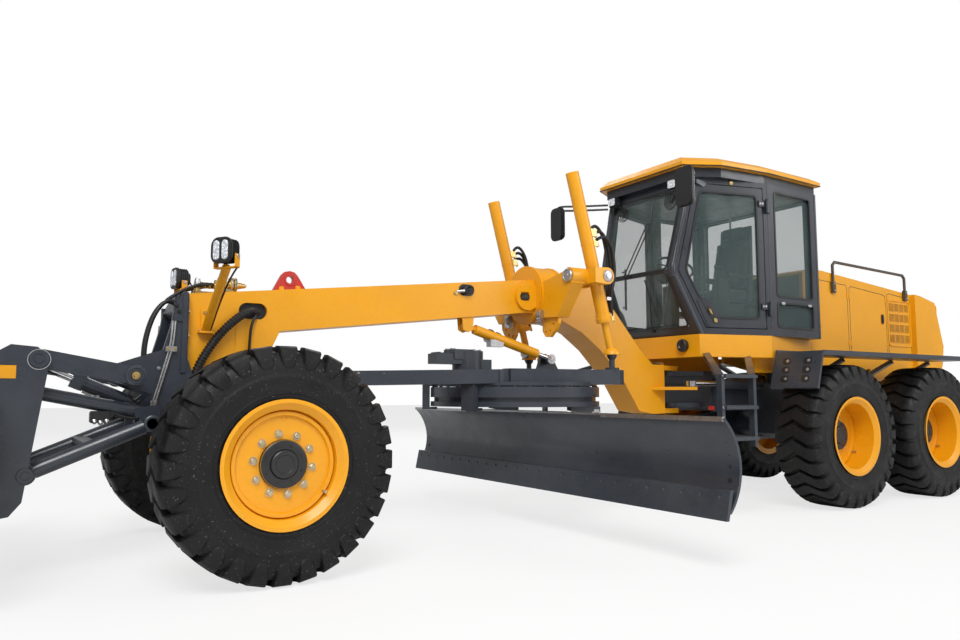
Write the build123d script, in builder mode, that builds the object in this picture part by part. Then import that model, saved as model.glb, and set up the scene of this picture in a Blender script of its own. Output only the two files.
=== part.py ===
"""Motor grader with a front dozer blade: a rear tractor unit on tandem wheels, a cab, and a front
frame that carries the steered axle, the drawbar, circle and moldboard, and the dozer linkage.

Stations are given in millimetres: x forward of the tandem centre, y to the machine's left of its
centreline, z up from the ground under the loaded tyres.  The row's origin is the tow hitch's pin
bore, so at(), side(), cross() and level() move a station into the row's frame.
"""
from build123d import *
from math import atan2, cos, degrees, hypot, pi, radians, sin, tan
import os

os.makedirs("parts", exist_ok=True)

# ---------------------------------------------------------------- driving dimensions
hitch_x = -2330          # tow pin behind the tandem centre
hitch_z = 760            # tow pin bore's middle above the ground
wheel_base = 6219
tandem_spacing = 1538
track = 2156
axle_height = 650        # loaded radius of the tyres
tyre_radius = 674        # free radius to the lug tips
tyre_width = 445
bead_radius = 318
lug_height = 40
lug_count = 22           # lugs on each side of a tyre
pivot_x = 1900           # articulation pin
running_fit = 0.05       # radial clearance of a pin in its bore
slide_gap = 6            # clearance between neighbours that move
track_half = track / 2


def at(x, y, z):
    """A station as a point of the row's frame."""
    return (x - hitch_x, y, z - hitch_z)


def side(y):
    """Upright plane along the machine: sketch x is forward, sketch y is up, normal to the right."""
    return Plane(origin=at(0, y, 0), x_dir=(1, 0, 0), z_dir=(0, -1, 0))


def cross(x):
    """Upright plane across the machine: sketch x is to the left, sketch y is up, normal forward."""
    return Plane(origin=at(x, 0, 0), x_dir=(0, 1, 0), z_dir=(1, 0, 0))


def level(z):
    """Level plane: sketch x is forward, sketch y is to the left, normal up."""
    return Plane(origin=at(0, 0, z), x_dir=(1, 0, 0), z_dir=(0, 0, 1))


def slab(points, y, thick, mode=Mode.ADD):
    """A plate of a side profile, centred on the upright plane at y."""
    with BuildSketch(side(y)) as outline:
        Polygon(*points, align=None)
    extrude(outline.sketch, amount=thick / 2, both=True, mode=mode)


def sheet(points, x, thick, mode=Mode.ADD):
    """A plate of a front profile, centred on the cross plane at x."""
    with BuildSketch(cross(x)) as outline:
        Polygon(*points, align=None)
    extrude(outline.sketch, amount=thick / 2, both=True, mode=mode)


def deck(points, z, thick, mode=Mode.ADD):
    """A plate of a plan profile, from z upwards."""
    with BuildSketch(level(z)) as outline:
        Polygon(*points, align=None)
    extrude(outline.sketch, amount=thick, mode=mode)


def block(low, high, mode=Mode.ADD):
    """A box between two opposite corners."""
    middle = [(a + b) / 2 for a, b in zip(low, high)]
    size = [b - a for a, b in zip(low, high)]
    with Locations(at(*middle)):
        Box(*size, mode=mode)


def bar(start, end, radius, mode=Mode.ADD):
    """A round bar between two stations."""
    run = Vector(*end) - Vector(*start)
    with BuildSketch(Plane(origin=at(*start), z_dir=run)) as tip:
        Circle(radius)
    extrude(tip.sketch, amount=run.length, mode=mode)


def girder(start, end, wide, tall, mode=Mode.ADD):
    """A square-cut girder between two stations, its wide side level."""
    run = Vector(*end) - Vector(*start)
    level_side = Vector(0, 0, 1).cross(run)
    with BuildSketch(Plane(origin=at(*start), x_dir=level_side, z_dir=run)) as tip:
        Rectangle(wide, tall)
    extrude(tip.sketch, amount=run.length, mode=mode)


def ball(centre, radius, mode=Mode.ADD):
    with Locations(at(*centre)):
        Sphere(radius, mode=mode)


def ahead(points):
    """Outline points given forward of the front axle, as stations."""
    return [(wheel_base + x, z) for x, z in points]


def finish(piece, name):
    piece.part.label = name
    export_step(piece.part, f"parts/{name}.step")


# ---------------------------------------------------------------- wheels
# Tyre: a carcass of flat facets, one for each pair of lugs, and two rows of lugs set half a pitch
# apart.  Stations across the section: distance from the middle plane, radius.
half_width = tyre_width / 2
carcass_radius = tyre_radius - lug_height
carcass_section = [
    (-175, bead_radius + 30),
    (-half_width + 8, 490),
    (-175, carcass_radius),
    (175, carcass_radius),
    (half_width - 8, 490),
    (175, bead_radius + 30),
]
bore_facet_radius = (bead_radius + 1) / cos(pi / lug_count)
lug_width = 0.52 * 2 * pi * tyre_radius / lug_count
# Lug profile: distance from the middle plane, radius.
lug_profile = [(6, 590), (6, tyre_radius), (182, tyre_radius), (half_width, 600), (half_width, 560)]

with BuildPart() as tyre_master:
    for across, radius in carcass_section:
        with BuildSketch(Plane.XZ.offset(-across)):
            RegularPolygon(radius / cos(pi / lug_count), lug_count)
    loft(ruled=True)
    for row in (1, -1):
        for turn in range(lug_count):
            angle = (turn + (0.5 if row < 0 else 0)) * 360 / lug_count
            lug_plane = Plane.YZ.rotated((0, angle, 0))
            with BuildSketch(lug_plane) as lug_outline:
                Polygon(*[(row * across, radius) for across, radius in lug_profile], align=None)
            extrude(lug_outline.sketch, amount=lug_width / 2, both=True)
    with BuildSketch(Plane.XZ) as bore_outline:
        RegularPolygon(bore_facet_radius, lug_count)
    extrude(bore_outline.sketch, amount=tyre_width, both=True, mode=Mode.SUBTRACT)


# Rim: (inboard edge, disc's inner face, disc's outer face, hub's inner end, hub's outer end), all
# measured outboard from the wheel's middle plane.
rim_edge = 222
rim_flange_radius = 366
rim_wall = 16
rim_step = 20            # ring that stands out of the disc beside the barrel
hub_radius = 135
spindle_radius = 55
front_dish = (128, 148, -70, 172)
rear_dish = (-40, -20, -150, 30)


def rim_profile(disc_in, disc_out, hub_in, hub_out):
    """Half section of a rim: distance outboard of the middle plane, radius."""
    barrel = bead_radius - rim_wall
    return [
        (-rim_edge, rim_flange_radius),
        (-rim_edge, barrel),
        (disc_in, barrel),
        (disc_in, hub_radius),
        (hub_in, hub_radius),
        (hub_in, spindle_radius + running_fit),
        (hub_out - 40, spindle_radius + running_fit),
        (hub_out - 40, 0),
        (hub_out, 0),
        (hub_out, hub_radius),
        (disc_out, hub_radius),
        (disc_out, barrel - 34),
        (disc_out + rim_step, barrel - 28),
        (disc_out + rim_step, barrel - 8),
        (disc_out, barrel),
        (rim_edge - 32, barrel + 4),
        (rim_edge, rim_flange_radius - 22),
        (rim_edge, rim_flange_radius),
        (rim_edge - 34, bead_radius),
        (-rim_edge + 34, bead_radius),
    ]


rim_masters = {}
for kind, dish in (("front", front_dish), ("rear", rear_dish)):
    with BuildPart() as rim_master:
        with BuildSketch(Plane(origin=(0, 0, 0), x_dir=(0, 1, 0), z_dir=(1, 0, 0))):
            Polygon(*rim_profile(*dish), align=None)
        revolve(axis=Axis.Y)
    rim_masters[kind] = rim_master.part

# Wheels: name, forward station, side (1 is left), kind of rim.
wheels = [
    ("front_left", wheel_base, 1, "front"),
    ("front_right", wheel_base, -1, "front"),
    ("rear_front_left", tandem_spacing / 2, 1, "rear"),
    ("rear_front_right", tandem_spacing / 2, -1, "rear"),
    ("rear_back_left", -tandem_spacing / 2, 1, "rear"),
    ("rear_back_right", -tandem_spacing / 2, -1, "rear"),
]
for wheel, x, hand, kind in wheels:
    outboard = 0 if hand > 0 else 180
    with BuildPart() as tyre:
        with Locations(Location(at(x, hand * track_half, axle_height), (0, 0, outboard))):
            add(tyre_master.part)
    finish(tyre, f"tyre_{wheel}")
    with BuildPart() as rim:
        with Locations(Location(at(x, hand * track_half, axle_height), (0, 0, outboard))):
            add(rim_masters[kind])
    finish(rim, f"rim_{wheel}")

# ---------------------------------------------------------------- rear frame
rail_y = 340             # middle of each rear frame rail
rail_wide = 80
rail_low = 880
rail_high = 1150
rail_front = 1640
rail_back = -1950
hinge_pin_radius = 45
hinge_lug_radius = 105
lug_plate = 46           # thickness of each hinge lug
# Hinge levels: bottom of the front frame's lug at each end of the articulation joint.
lower_front_lug = 857
upper_front_lug = 1274
lower_rear_lug = lower_front_lug + lug_plate + slide_gap
upper_rear_lug = upper_front_lug - slide_gap - lug_plate
artic_y = 420            # articulation cylinders beside the centreline
artic_z = 1140
artic_barrel_radius = 52
artic_rod_radius = 28
artic_anchor_x = 1060
artic_barrel_end = 1600
artic_eye_x = 2020

with BuildPart() as rear_frame:
    for hand in (1, -1):
        block((rail_back, hand * rail_y - rail_wide / 2, rail_low),
              (rail_front, hand * rail_y + rail_wide / 2, rail_high))
    for x in (rail_front - 30, 760, -760, -1700):
        block((x - 60, -rail_y, rail_low + 20), (x + 60, rail_y, rail_high - 20))
    # nose: the fork that carries the two articulation pins
    block((rail_front - 90, -rail_y, rail_low), (rail_front, rail_y, upper_rear_lug + lug_plate))
    nose = [(rail_front - 90, -rail_y), (rail_front - 90, rail_y), (rail_front + 30, 200),
            (pivot_x, hinge_lug_radius), (pivot_x, -hinge_lug_radius), (rail_front + 30, -200)]
    for low in (lower_rear_lug, upper_rear_lug):
        deck(nose, low, lug_plate)
        bar((pivot_x, 0, low), (pivot_x, 0, low + lug_plate), hinge_lug_radius)
    # pins: each stands out of the fork through one lug of the front frame
    bar((pivot_x, 0, lower_front_lug - 12), (pivot_x, 0, lower_rear_lug), hinge_pin_radius)
    bar((pivot_x, 0, upper_rear_lug + lug_plate), (pivot_x, 0, upper_front_lug + lug_plate + 12),
        hinge_pin_radius)
    # articulation cylinder barrels on their anchor brackets
    for hand in (1, -1):
        block((artic_anchor_x - 60, hand * artic_y - 40, rail_high - 40),
              (artic_anchor_x + 60, hand * artic_y + 40, artic_z))
        bar((artic_anchor_x - 40, hand * artic_y, artic_z), (artic_barrel_end, hand * artic_y, artic_z),
            artic_barrel_radius)
        bar((artic_anchor_x + 20, hand * artic_y, artic_z), (artic_barrel_end, hand * artic_y, artic_z),
            artic_rod_radius + running_fit, Mode.SUBTRACT)
    # counterweight with the tow hitch's clevis
    block((rail_back - 160, -620, 800), (rail_back, 620, 1230))
    for low in (hitch_z + 30, hitch_z - 60):
        block((hitch_x - 60, -70, low), (rail_back - 60, 70, low + 30))
    block((rail_back - 200, -70, hitch_z - 60), (rail_back - 60, 70, 860))
    bar((hitch_x, 0, hitch_z - 80), (hitch_x, 0, hitch_z + 80), 26, Mode.SUBTRACT)
finish(rear_frame, "rear_frame")

with BuildPart() as engine_block:
    block((-1250, -rail_y, rail_high), (-100, rail_y, 1950))
finish(engine_block, "engine_block")

# ---------------------------------------------------------------- tandem cases
case_y = 690
case_wide = 170
axle_stub_radius = spindle_radius
stub_tip = track_half + rear_dish[3] - 46

with BuildPart() as tandem_cases:
    for hand in (1, -1):
        case = [(-960, 560), (-900, 500), (900, 500), (960, 560), (960, 740), (880, 800),
                (240, 860), (-240, 860), (-880, 800), (-960, 740)]
        slab(case, hand * case_y, case_wide)
        bar((0, hand * 300, 700), (0, hand * case_y, 700), 150)
        for x in (-tandem_spacing / 2, tandem_spacing / 2):
            bar((x, hand * case_y, axle_height), (x, hand * stub_tip, axle_height), spindle_radius)
            bar((x, hand * case_y, axle_height), (x, hand * (case_y + case_wide / 2 + 60), axle_height),
                120)
    block((-170, -rail_y, 600), (170, rail_y, rail_low))
finish(tandem_cases, "tandem_cases")

# ---------------------------------------------------------------- hood
hood_half = 550
hood_wall = 40
hood_front = 440
hood_rear = -1640
hood_low = 1185          # lower edge of the side panels, between the rear wheels
fender_bracket_x = (200, -700, -1450)
# Roof line of the hood and of the radiator duct behind it: forward station, height.
hood_outline = [(hood_rear, hood_low), (-690, hood_low), (-600, 1210), (170, 1350), (hood_front, 1400),
                (hood_front, 2330), (300, 2375), (100, 2370), (hood_rear, 2225)]
hood_room_outline = [(hood_rear - 200, hood_low - 50), (hood_front + 100, hood_low - 50),
                     (hood_front + 100, 2288), (300, 2333), (100, 2328), (hood_rear - 200, 2170)]
duct_outline = [(hood_rear, 1560), (hood_rear, 2225), (-1760, 2215), (-2080, 2150), (-2240, 1620),
                (-2200, 1400), (-2110, 1235), (hood_rear, 1235)]
louvre_low = 1640
louvre_rows = 4
louvre_pitch = 122

with BuildPart() as hood:
    slab(hood_outline, 0, 2 * hood_half)
    slab(hood_room_outline, 0, 2 * (hood_half - hood_wall), Mode.SUBTRACT)
    # louvre panels, four slots in each flank with slats across them
    for row in range(louvre_rows):
        low = louvre_low + row * louvre_pitch
        block((-1573, -hood_half - 1, low), (-1165, hood_half + 1, low + 92), Mode.SUBTRACT)
        for slat in range(3):
            z = low + 14 + slat * 30
            for hand in (1, -1):
                block((-1573, hand * (hood_half - hood_wall / 2) - 14, z),
                      (-1165, hand * (hood_half - hood_wall / 2) + 14, z + 6))
    for x in fender_bracket_x:
        block((x - 40, -hood_half - 1, hood_low - 1), (x + 40, hood_half + 1, 1320), Mode.SUBTRACT)
    slab(duct_outline, 0, 2 * 600)
    duct_room = [(hood_rear - 60, 1500), (hood_rear - 60, 2120), (-1760, 2110), (-2040, 2060),
                 (-2300, 1700), (-2300, 1500)]
    slab(duct_room, 0, 2 * 480, Mode.SUBTRACT)
    for row in range(6):
        z = 1560 + row * 80
        block((-2150, -480, z), (-2120, 480, z + 20))
finish(hood, "hood")

# ---------------------------------------------------------------- belt skirt under the cab
belt_high = 1600
belt_low = 1390
belt_front = 2080
belt_rear = 460

with BuildPart() as belt_skirt:
    belt_plan = [(belt_rear, -640), (belt_rear, 640), (1300, 790), (belt_front, 590), (belt_front, -590),
                 (1300, -790)]
    deck(belt_plan, belt_low, belt_high - belt_low)
    deck([(belt_rear, -640), (belt_rear, 640), (1350, 640), (1350, -640)], 1250, belt_low - 1250)
    # the room round the frame rails and the articulation joint
    block((belt_rear - 10, -580, 1200), (belt_front - 50, 580, belt_high - 60), Mode.SUBTRACT)
    for hand in (1, -1):
        bar((belt_front - 20, hand * 400, 1500), (belt_front + 26, hand * 400, 1500), 48)
finish(belt_skirt, "belt_skirt")

# ---------------------------------------------------------------- cab
cab_wall = 55
cab_low = 1600
cab_high = 3100
cab_rear = 500
post_x = 1300            # the door's hinge post
post_y = 790
knee = (2330, 2200)
cab_side = [(cab_rear, cab_low), (cab_rear, cab_high), (2115, cab_high), knee, (2045, cab_low)]
flank_angle = degrees(atan2(post_y - 491, knee[0] - post_x))
flank_slope = tan(radians(flank_angle))


def flank_y(x):
    """Half width of the cab's front part at a forward station."""
    return post_y - (x - post_x) * flank_slope


def inset(points, by):
    """A profile moved in by a wall."""
    with BuildSketch() as shrunk:
        Polygon(*points, align=None)
        offset(amount=-by, mode=Mode.REPLACE)
    return shrunk.sketch


def cab_plan(grow):
    front = knee[0] + 200
    return [(cab_rear - grow, 780 + grow), (post_x, post_y + grow), (front, flank_y(front) + grow),
            (front, -flank_y(front) - grow), (post_x, -post_y - grow), (cab_rear - grow, -780 - grow)]


def flank(hand):
    """Plane on the cab's outer flank: sketch x runs forward from the hinge post, sketch y is up."""
    forward, sideways = cos(radians(flank_angle)), sin(radians(flank_angle))
    if hand > 0:
        return Plane(origin=at(post_x, post_y, 0), x_dir=(forward, -sideways, 0),
                     z_dir=(-sideways, -forward, 0))
    return Plane(origin=at(post_x, -post_y, 0), x_dir=(forward, sideways, 0), z_dir=(sideways, -forward, 0))


# Front outlines of the windscreen's two panes, with a thin bar between them at the knee.
screen_bar = 12
upper_outline = [(-430, knee[1] + screen_bar), (430, knee[1] + screen_bar), (480, 3020), (-480, 3020)]
lower_outline = [(-470, 1680), (470, 1680), (415, knee[1] - screen_bar), (-415, knee[1] - screen_bar)]

# Profiles on the flank: along it from the hinge post, height.
door_edge = [(45, 1660), (45, 3050), (800, 3050), (1000, 2200), (716, 1660)]
door_gap = 8
door_thick = 38
door_window = [(120, 1760), (120, 2970), (745, 2970), (915, 2200), (670, 1760)]
hinge_along = 20         # door hinge's axis along the flank from its rear corner
hinge_out = 26           # and outwards from the flank
knuckle_radius = 15
knuckle_length = 60
knuckle_levels = (1850, 2860)
roof_low = 3190
roof_edge = 40
roof_high = 3290
roof_plan = [(440, -800), (440, 800), (1320, 826), (1900, 760), (2240, 580), (2240, -580),
             (1900, -760), (1320, -826)]


def hinge_line(hand):
    """Forward and sideways station of a door's upright hinge axis."""
    turn = radians(flank_angle)
    x = post_x + hinge_along * cos(turn) + hinge_out * sin(turn)
    return (x, hand * (post_y - hinge_along * sin(turn) + hinge_out * cos(turn)))


def hinge_leaf(hand, along, out, z):
    """A leaf of a door hinge: its reach along the flank, its reach outwards, and its middle height."""
    with BuildSketch(flank(hand).offset(-hand * out[0])) as leaf:
        with Locations(((along[0] + along[1]) / 2, z)):
            Rectangle(along[1] - along[0], knuckle_length - 2)
    extrude(leaf.sketch, amount=-hand * (out[1] - out[0]))


with BuildPart() as cab_room:
    with BuildSketch(side(0)):
        add(inset(cab_side, cab_wall))
    extrude(amount=1000, both=True)
    with BuildSketch(level(cab_low)):
        Polygon(*cab_plan(-cab_wall), align=None)
    extrude(amount=cab_high - cab_low, mode=Mode.INTERSECT)

with BuildPart() as cab_shell:
    with BuildSketch(side(0)):
        Polygon(*cab_side, align=None)
    extrude(amount=1000, both=True)
    with BuildSketch(level(cab_low)):
        Polygon(*cab_plan(0), align=None)
    extrude(amount=cab_high - cab_low, mode=Mode.INTERSECT)
    add(cab_room.part, mode=Mode.SUBTRACT)
    # doorways
    for hand in (1, -1):
        with BuildSketch(flank(hand)) as doorway:
            Polygon(*door_edge, align=None)
        extrude(doorway.sketch, amount=cab_wall + 60, both=True, mode=Mode.SUBTRACT)
    # rear side windows, rear window and the two panes of the windscreen
    block((610, -900, 1990), (1190, 900, 3030), Mode.SUBTRACT)
    block((610, -900, 1690), (1190, 900, 1930), Mode.SUBTRACT)
    block((cab_rear - 10, -660, 2000), (cab_rear + cab_wall + 10, 660, 3030), Mode.SUBTRACT)
    sheet(upper_outline, 2200, 700, Mode.SUBTRACT)
    sheet(lower_outline, 2200, 700, Mode.SUBTRACT)
    # roof tray, with the hinge knuckles that stay on the posts
    deck([(x * 0.95 + 50, y * 0.93) for x, y in roof_plan], cab_high, roof_low - cab_high)
    block((700, -560, cab_high - 1), (1800, 560, roof_low - 30), Mode.SUBTRACT)
    for hand in (1, -1):
        for z in knuckle_levels:
            hinge_leaf(hand, (hinge_along - 50, hinge_along), (-2, 18), z - knuckle_length / 2)
            bar((*hinge_line(hand), z - knuckle_length), (*hinge_line(hand), z), knuckle_radius)
finish(cab_shell, "cab_shell")

with BuildPart() as cab_roof:
    deck(roof_plan, roof_low, roof_edge)
    with BuildSketch(level(roof_low + roof_edge)):
        Polygon(*roof_plan, align=None)
    with BuildSketch(level(roof_high)):
        Polygon(*[(x * 0.94 + 80, y * 0.88) for x, y in roof_plan], align=None)
    loft(ruled=True)
finish(cab_roof, "cab_roof")

glass_thick = 8
# Windscreen strips in the side profile, in the middle of the wall.
upper_screen = [(2290, 2195), (2298, 2197), (2089, 3070), (2081, 3068)]
lower_screen = [(2030, 1642), (2037, 1638), (2300, 2190), (2293, 2194)]

with BuildPart() as upper_pane:
    slab(upper_screen, 0, 1200)
    sheet(upper_outline, 2300, 800, Mode.INTERSECT)
with BuildPart() as lower_pane:
    slab(lower_screen, 0, 1200)
    sheet(lower_outline, 2250, 800, Mode.INTERSECT)

with BuildPart() as cab_glass:
    for hand in (1, -1):
        y = hand * (post_y - cab_wall / 2 - 6)
        block((610, y - glass_thick / 2, 1990), (1190, y + glass_thick / 2, 3030))
        block((610, y - glass_thick / 2, 1690), (1190, y + glass_thick / 2, 1930))
    block((cab_rear + 20, -660, 2000), (cab_rear + 20 + glass_thick, 660, 3030))
    add(upper_pane.part)
    add(lower_pane.part)
finish(cab_glass, "cab_glass")

for hand, name in ((1, "left"), (-1, "right")):
    with BuildPart() as door:
        with BuildSketch(flank(hand)):
            add(inset(door_edge, door_gap))
        extrude(amount=door_thick * hand)
        with BuildSketch(flank(hand)) as opening:
            Polygon(*door_window, align=None)
        extrude(opening.sketch, amount=100, both=True, mode=Mode.SUBTRACT)
        # hinge leaves and knuckles
        for z in knuckle_levels:
            hinge_leaf(hand, (hinge_along, hinge_along + 85), (5, 18), z + knuckle_length / 2)
            hinge_leaf(hand, (hinge_along + 40, hinge_along + 85), (-2, 6), z + knuckle_length / 2)
            bar((*hinge_line(hand), z + 1), (*hinge_line(hand), z + knuckle_length), knuckle_radius)
    finish(door, f"door_{name}")
    with BuildPart() as door_glass:
        with BuildSketch(flank(hand).offset(hand * (door_thick - glass_thick) / 2)):
            Polygon(*door_window, align=None)
        extrude(amount=glass_thick * hand)
    finish(door_glass, f"door_glass_{name}")

# ---------------------------------------------------------------- inside the cab
with BuildPart() as cab_interior:
    block((900, -250, cab_low + cab_wall), (1320, 250, 2020))
    slab([(850, 2020), (1380, 2020), (1390, 2130), (1010, 2150), (880, 2860), (770, 2860)], 0, 480)
    bar((1900, 0, cab_low + cab_wall + 16), (1760, 0, 2330), 70)
    block((1780, -90, cab_low + cab_wall), (2000, 90, cab_low + cab_wall + 40))
    bar((1765, 0, 2320), (1745, 0, 2350), 200)
    block((1380, 300, cab_low + cab_wall), (1560, 380, 2200))
    block((1380, -380, cab_low + cab_wall), (1560, -300, 2200))
finish(cab_interior, "cab_interior")

# ---------------------------------------------------------------- fenders, ladders and rails
fender_high = 1440
fender_low = 1410
fender_in = 800
fender_out = 1300

with BuildPart() as fenders:
    for hand in (1, -1):
        fender = [(1336, 1088), (1361, 1100), (1262, fender_high), (-1600, fender_high),
                  (-1600, fender_low), (1246, fender_low)]
        slab(fender, hand * (fender_in + fender_out) / 2, fender_out - fender_in)
        for x in fender_bracket_x:
            foot = [rail_y + rail_wide / 2, rail_y + rail_wide / 2 + 60]
            block((x - 30, min(hand * foot[0], hand * foot[1]), 1060),
                  (x + 30, max(hand * foot[0], hand * foot[1]), 1200))
            girder((x, hand * (foot[1] - 30), 1180), (x, hand * (fender_in + 15), fender_low - 15), 60, 40)
finish(fenders, "fenders")

ladder_y = 1200
ladder_back = 2130
ladder_front = 2530
ladder_low = 600
ladder_high = 1205
rung_heights = (670, 930, 1190)
stile_wide = 36

with BuildPart() as ladders:
    for hand in (1, -1):
        y = hand * ladder_y
        for x in (ladder_back, ladder_front):
            block((x - stile_wide / 2, y - 28, ladder_low), (x + stile_wide / 2, y + 28, ladder_high))
        for z in rung_heights:
            block((ladder_back, y - 60, z - 14), (ladder_front, y + 60, z + 14))
        # carriers from the ladder's top, back and inwards to the underside of the belt
        for x, belt_x, belt_y in ((ladder_back, 1480, 640), (ladder_front, 2000, 592)):
            girder((x, y, ladder_high - 20), (belt_x, hand * belt_y, belt_low + 20), 60, 40)
    add(belt_skirt.part, mode=Mode.SUBTRACT)
finish(ladders, "ladders")

rail_radius = 16
rail_side = hood_half + rail_radius
# Handrail along the hood: forward station, height.
rail_line = [(-1490, 2150), (-1490, 2405), (-1450, 2442), (-115, 2481), (-75, 2445), (-75, 2250)]

with BuildPart() as handrails:
    for hand in (1, -1):
        for start, end in zip(rail_line, rail_line[1:]):
            bar((start[0], hand * rail_side, start[1]), (end[0], hand * rail_side, end[1]), rail_radius)
        for x, z in rail_line:
            ball((x, hand * rail_side, z), rail_radius)
finish(handrails, "handrails")

with BuildPart() as cab_fittings:
    # beacon, roof lamps and mirrors on their wire arms
    bar((1760, -300, roof_high), (1760, -300, roof_high + 60), 60)
    bar((1760, -300, roof_high + 60), (1760, -300, roof_high + 170), 48)
    for hand in (1, -1):
        block((2155, hand * 420 - 60, cab_high - 110), (2232, hand * 420 + 60, cab_high))
        bar((2160, hand * 590, cab_high - 30), (2560, hand * 850, 3020), 11)
        block((2540, hand * 900 - 90, 2680), (2585, hand * 900 + 90, 3040))
        bar((2160, hand * 590, cab_high - 30), (2160, hand * 590, cab_high), 30)
finish(cab_fittings, "cab_fittings")

# ---------------------------------------------------------------- front frame
beam_half = 150
head_x = wheel_base + 331     # front face of the beam's head
# Side profile: the gooseneck from its top forwards round to the underside, then the head.
frame_outline = [
    (3770, 2028), (3250, 2070), (3000, 2040), (2825, 1923), (2418, 1469), (2250, 1325),
    (2096, 1325), (2096, lower_front_lug), (2238, 851), (2433, 882), (2640, 1180), (2919, 1454),
    (3130, 1600), (3382, 1707), (3520, 1740), (3738, 1746),
] + ahead([(-309, 1490), (-219, 1300), (-209, 960), (211, 960), (331, 1300), (331, 1716)])
ball_x = wheel_base - 219     # drawbar ball
ball_z = 1150
ball_radius = 70
axle_pin_z = 760         # pin the axle oscillates on
axle_pin_back = wheel_base - 109
axle_pin_front = wheel_base + 126

hose_slot = (wheel_base - 113, 1622)
hose_slot_long = 200
hose_slot_tall = 113

shift_pin = (4330, 1605)     # pin of the centre-shift cylinder's barrel, under the beam
shift_y = 95

with BuildPart() as front_frame:
    slab(frame_outline, 0, 2 * beam_half)
    # articulation lugs
    for low in (lower_front_lug, upper_front_lug):
        deck([(2100, -beam_half), (2100, beam_half), (pivot_x, hinge_lug_radius),
              (pivot_x, -hinge_lug_radius)],
             low, lug_plate)
        bar((pivot_x, 0, low), (pivot_x, 0, low + lug_plate), hinge_lug_radius)
        bar((pivot_x, 0, low), (pivot_x, 0, low + lug_plate), hinge_pin_radius + running_fit, Mode.SUBTRACT)
    # ears for the articulation cylinders
    for hand in (1, -1):
        deck([(2096, hand * 100), (2300, hand * 100), (2080, hand * (artic_y + 40)),
              (1980, hand * (artic_y + 40)), (1980, hand * (artic_y - 60))], artic_z - 60, 30)
    # the head that takes the axle's pivot, and the socket of the drawbar's ball
    for x in (axle_pin_back - 60, axle_pin_front):
        block((x, -170, 690), (x + 60, 170, 960))
    block((ball_x - 40, -125, 1040), (ball_x + 60, 125, 1260))
    ball((ball_x, 0, ball_z), ball_radius + 0.4, Mode.SUBTRACT)
    block((ball_x - 100, -126, 1039), (ball_x, 126, 1261), Mode.SUBTRACT)
    # clevis of the centre-shift cylinder
    for y in (shift_y - 37, shift_y + 37):
        slab([(4270, 1720), (4285, 1570), (4330, 1550), (4375, 1570), (4390, 1720)], y, 14)
    bar((shift_pin[0], shift_y - 44, shift_pin[1]), (shift_pin[0], shift_y + 44, shift_pin[1]), 22)
    # hose passage through the head
    with BuildSketch(side(0)) as passage:
        with Locations(hose_slot):
            SlotOverall(hose_slot_long, hose_slot_tall)
    extrude(passage.sketch, amount=beam_half + 1, both=True, mode=Mode.SUBTRACT)
finish(front_frame, "front_frame")

# ---------------------------------------------------------------- front axle and wheel mounting
kingpin_y = 830
lean_y = 660
lean_z = 500
lean_pin_radius = 35
kingpin_radius = 40
knuckle_low = 560
knuckle_high = 740
fork_top = 900
lean_bar_x = wheel_base + 80

with BuildPart() as front_axle:
    axle = [(-lean_y + 60, 420), (lean_y - 60, 420), (lean_y - 60, 580), (300, 695), (-300, 695),
            (-lean_y + 60, 580)]
    sheet(axle, wheel_base, 190)
    bar((axle_pin_back, 0, axle_pin_z), (axle_pin_front, 0, axle_pin_z), 66)
    for hand in (1, -1):
        for x in (wheel_base - 75, wheel_base + 75):
            bar((x - 20, hand * lean_y, lean_z), (x + 20, hand * lean_y, lean_z), 70)
            block((x - 20, min(hand * 560, hand * lean_y), lean_z - 70),
                  (x + 20, max(hand * 560, hand * lean_y), lean_z + 70))
        block((wheel_base - 55, min(hand * 570, hand * 760), 380),
              (wheel_base + 55, max(hand * 570, hand * 760), 700), Mode.SUBTRACT)
        bar((wheel_base - 95, hand * lean_y, lean_z), (wheel_base + 95, hand * lean_y, lean_z),
            lean_pin_radius)
finish(front_axle, "front_axle")

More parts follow.
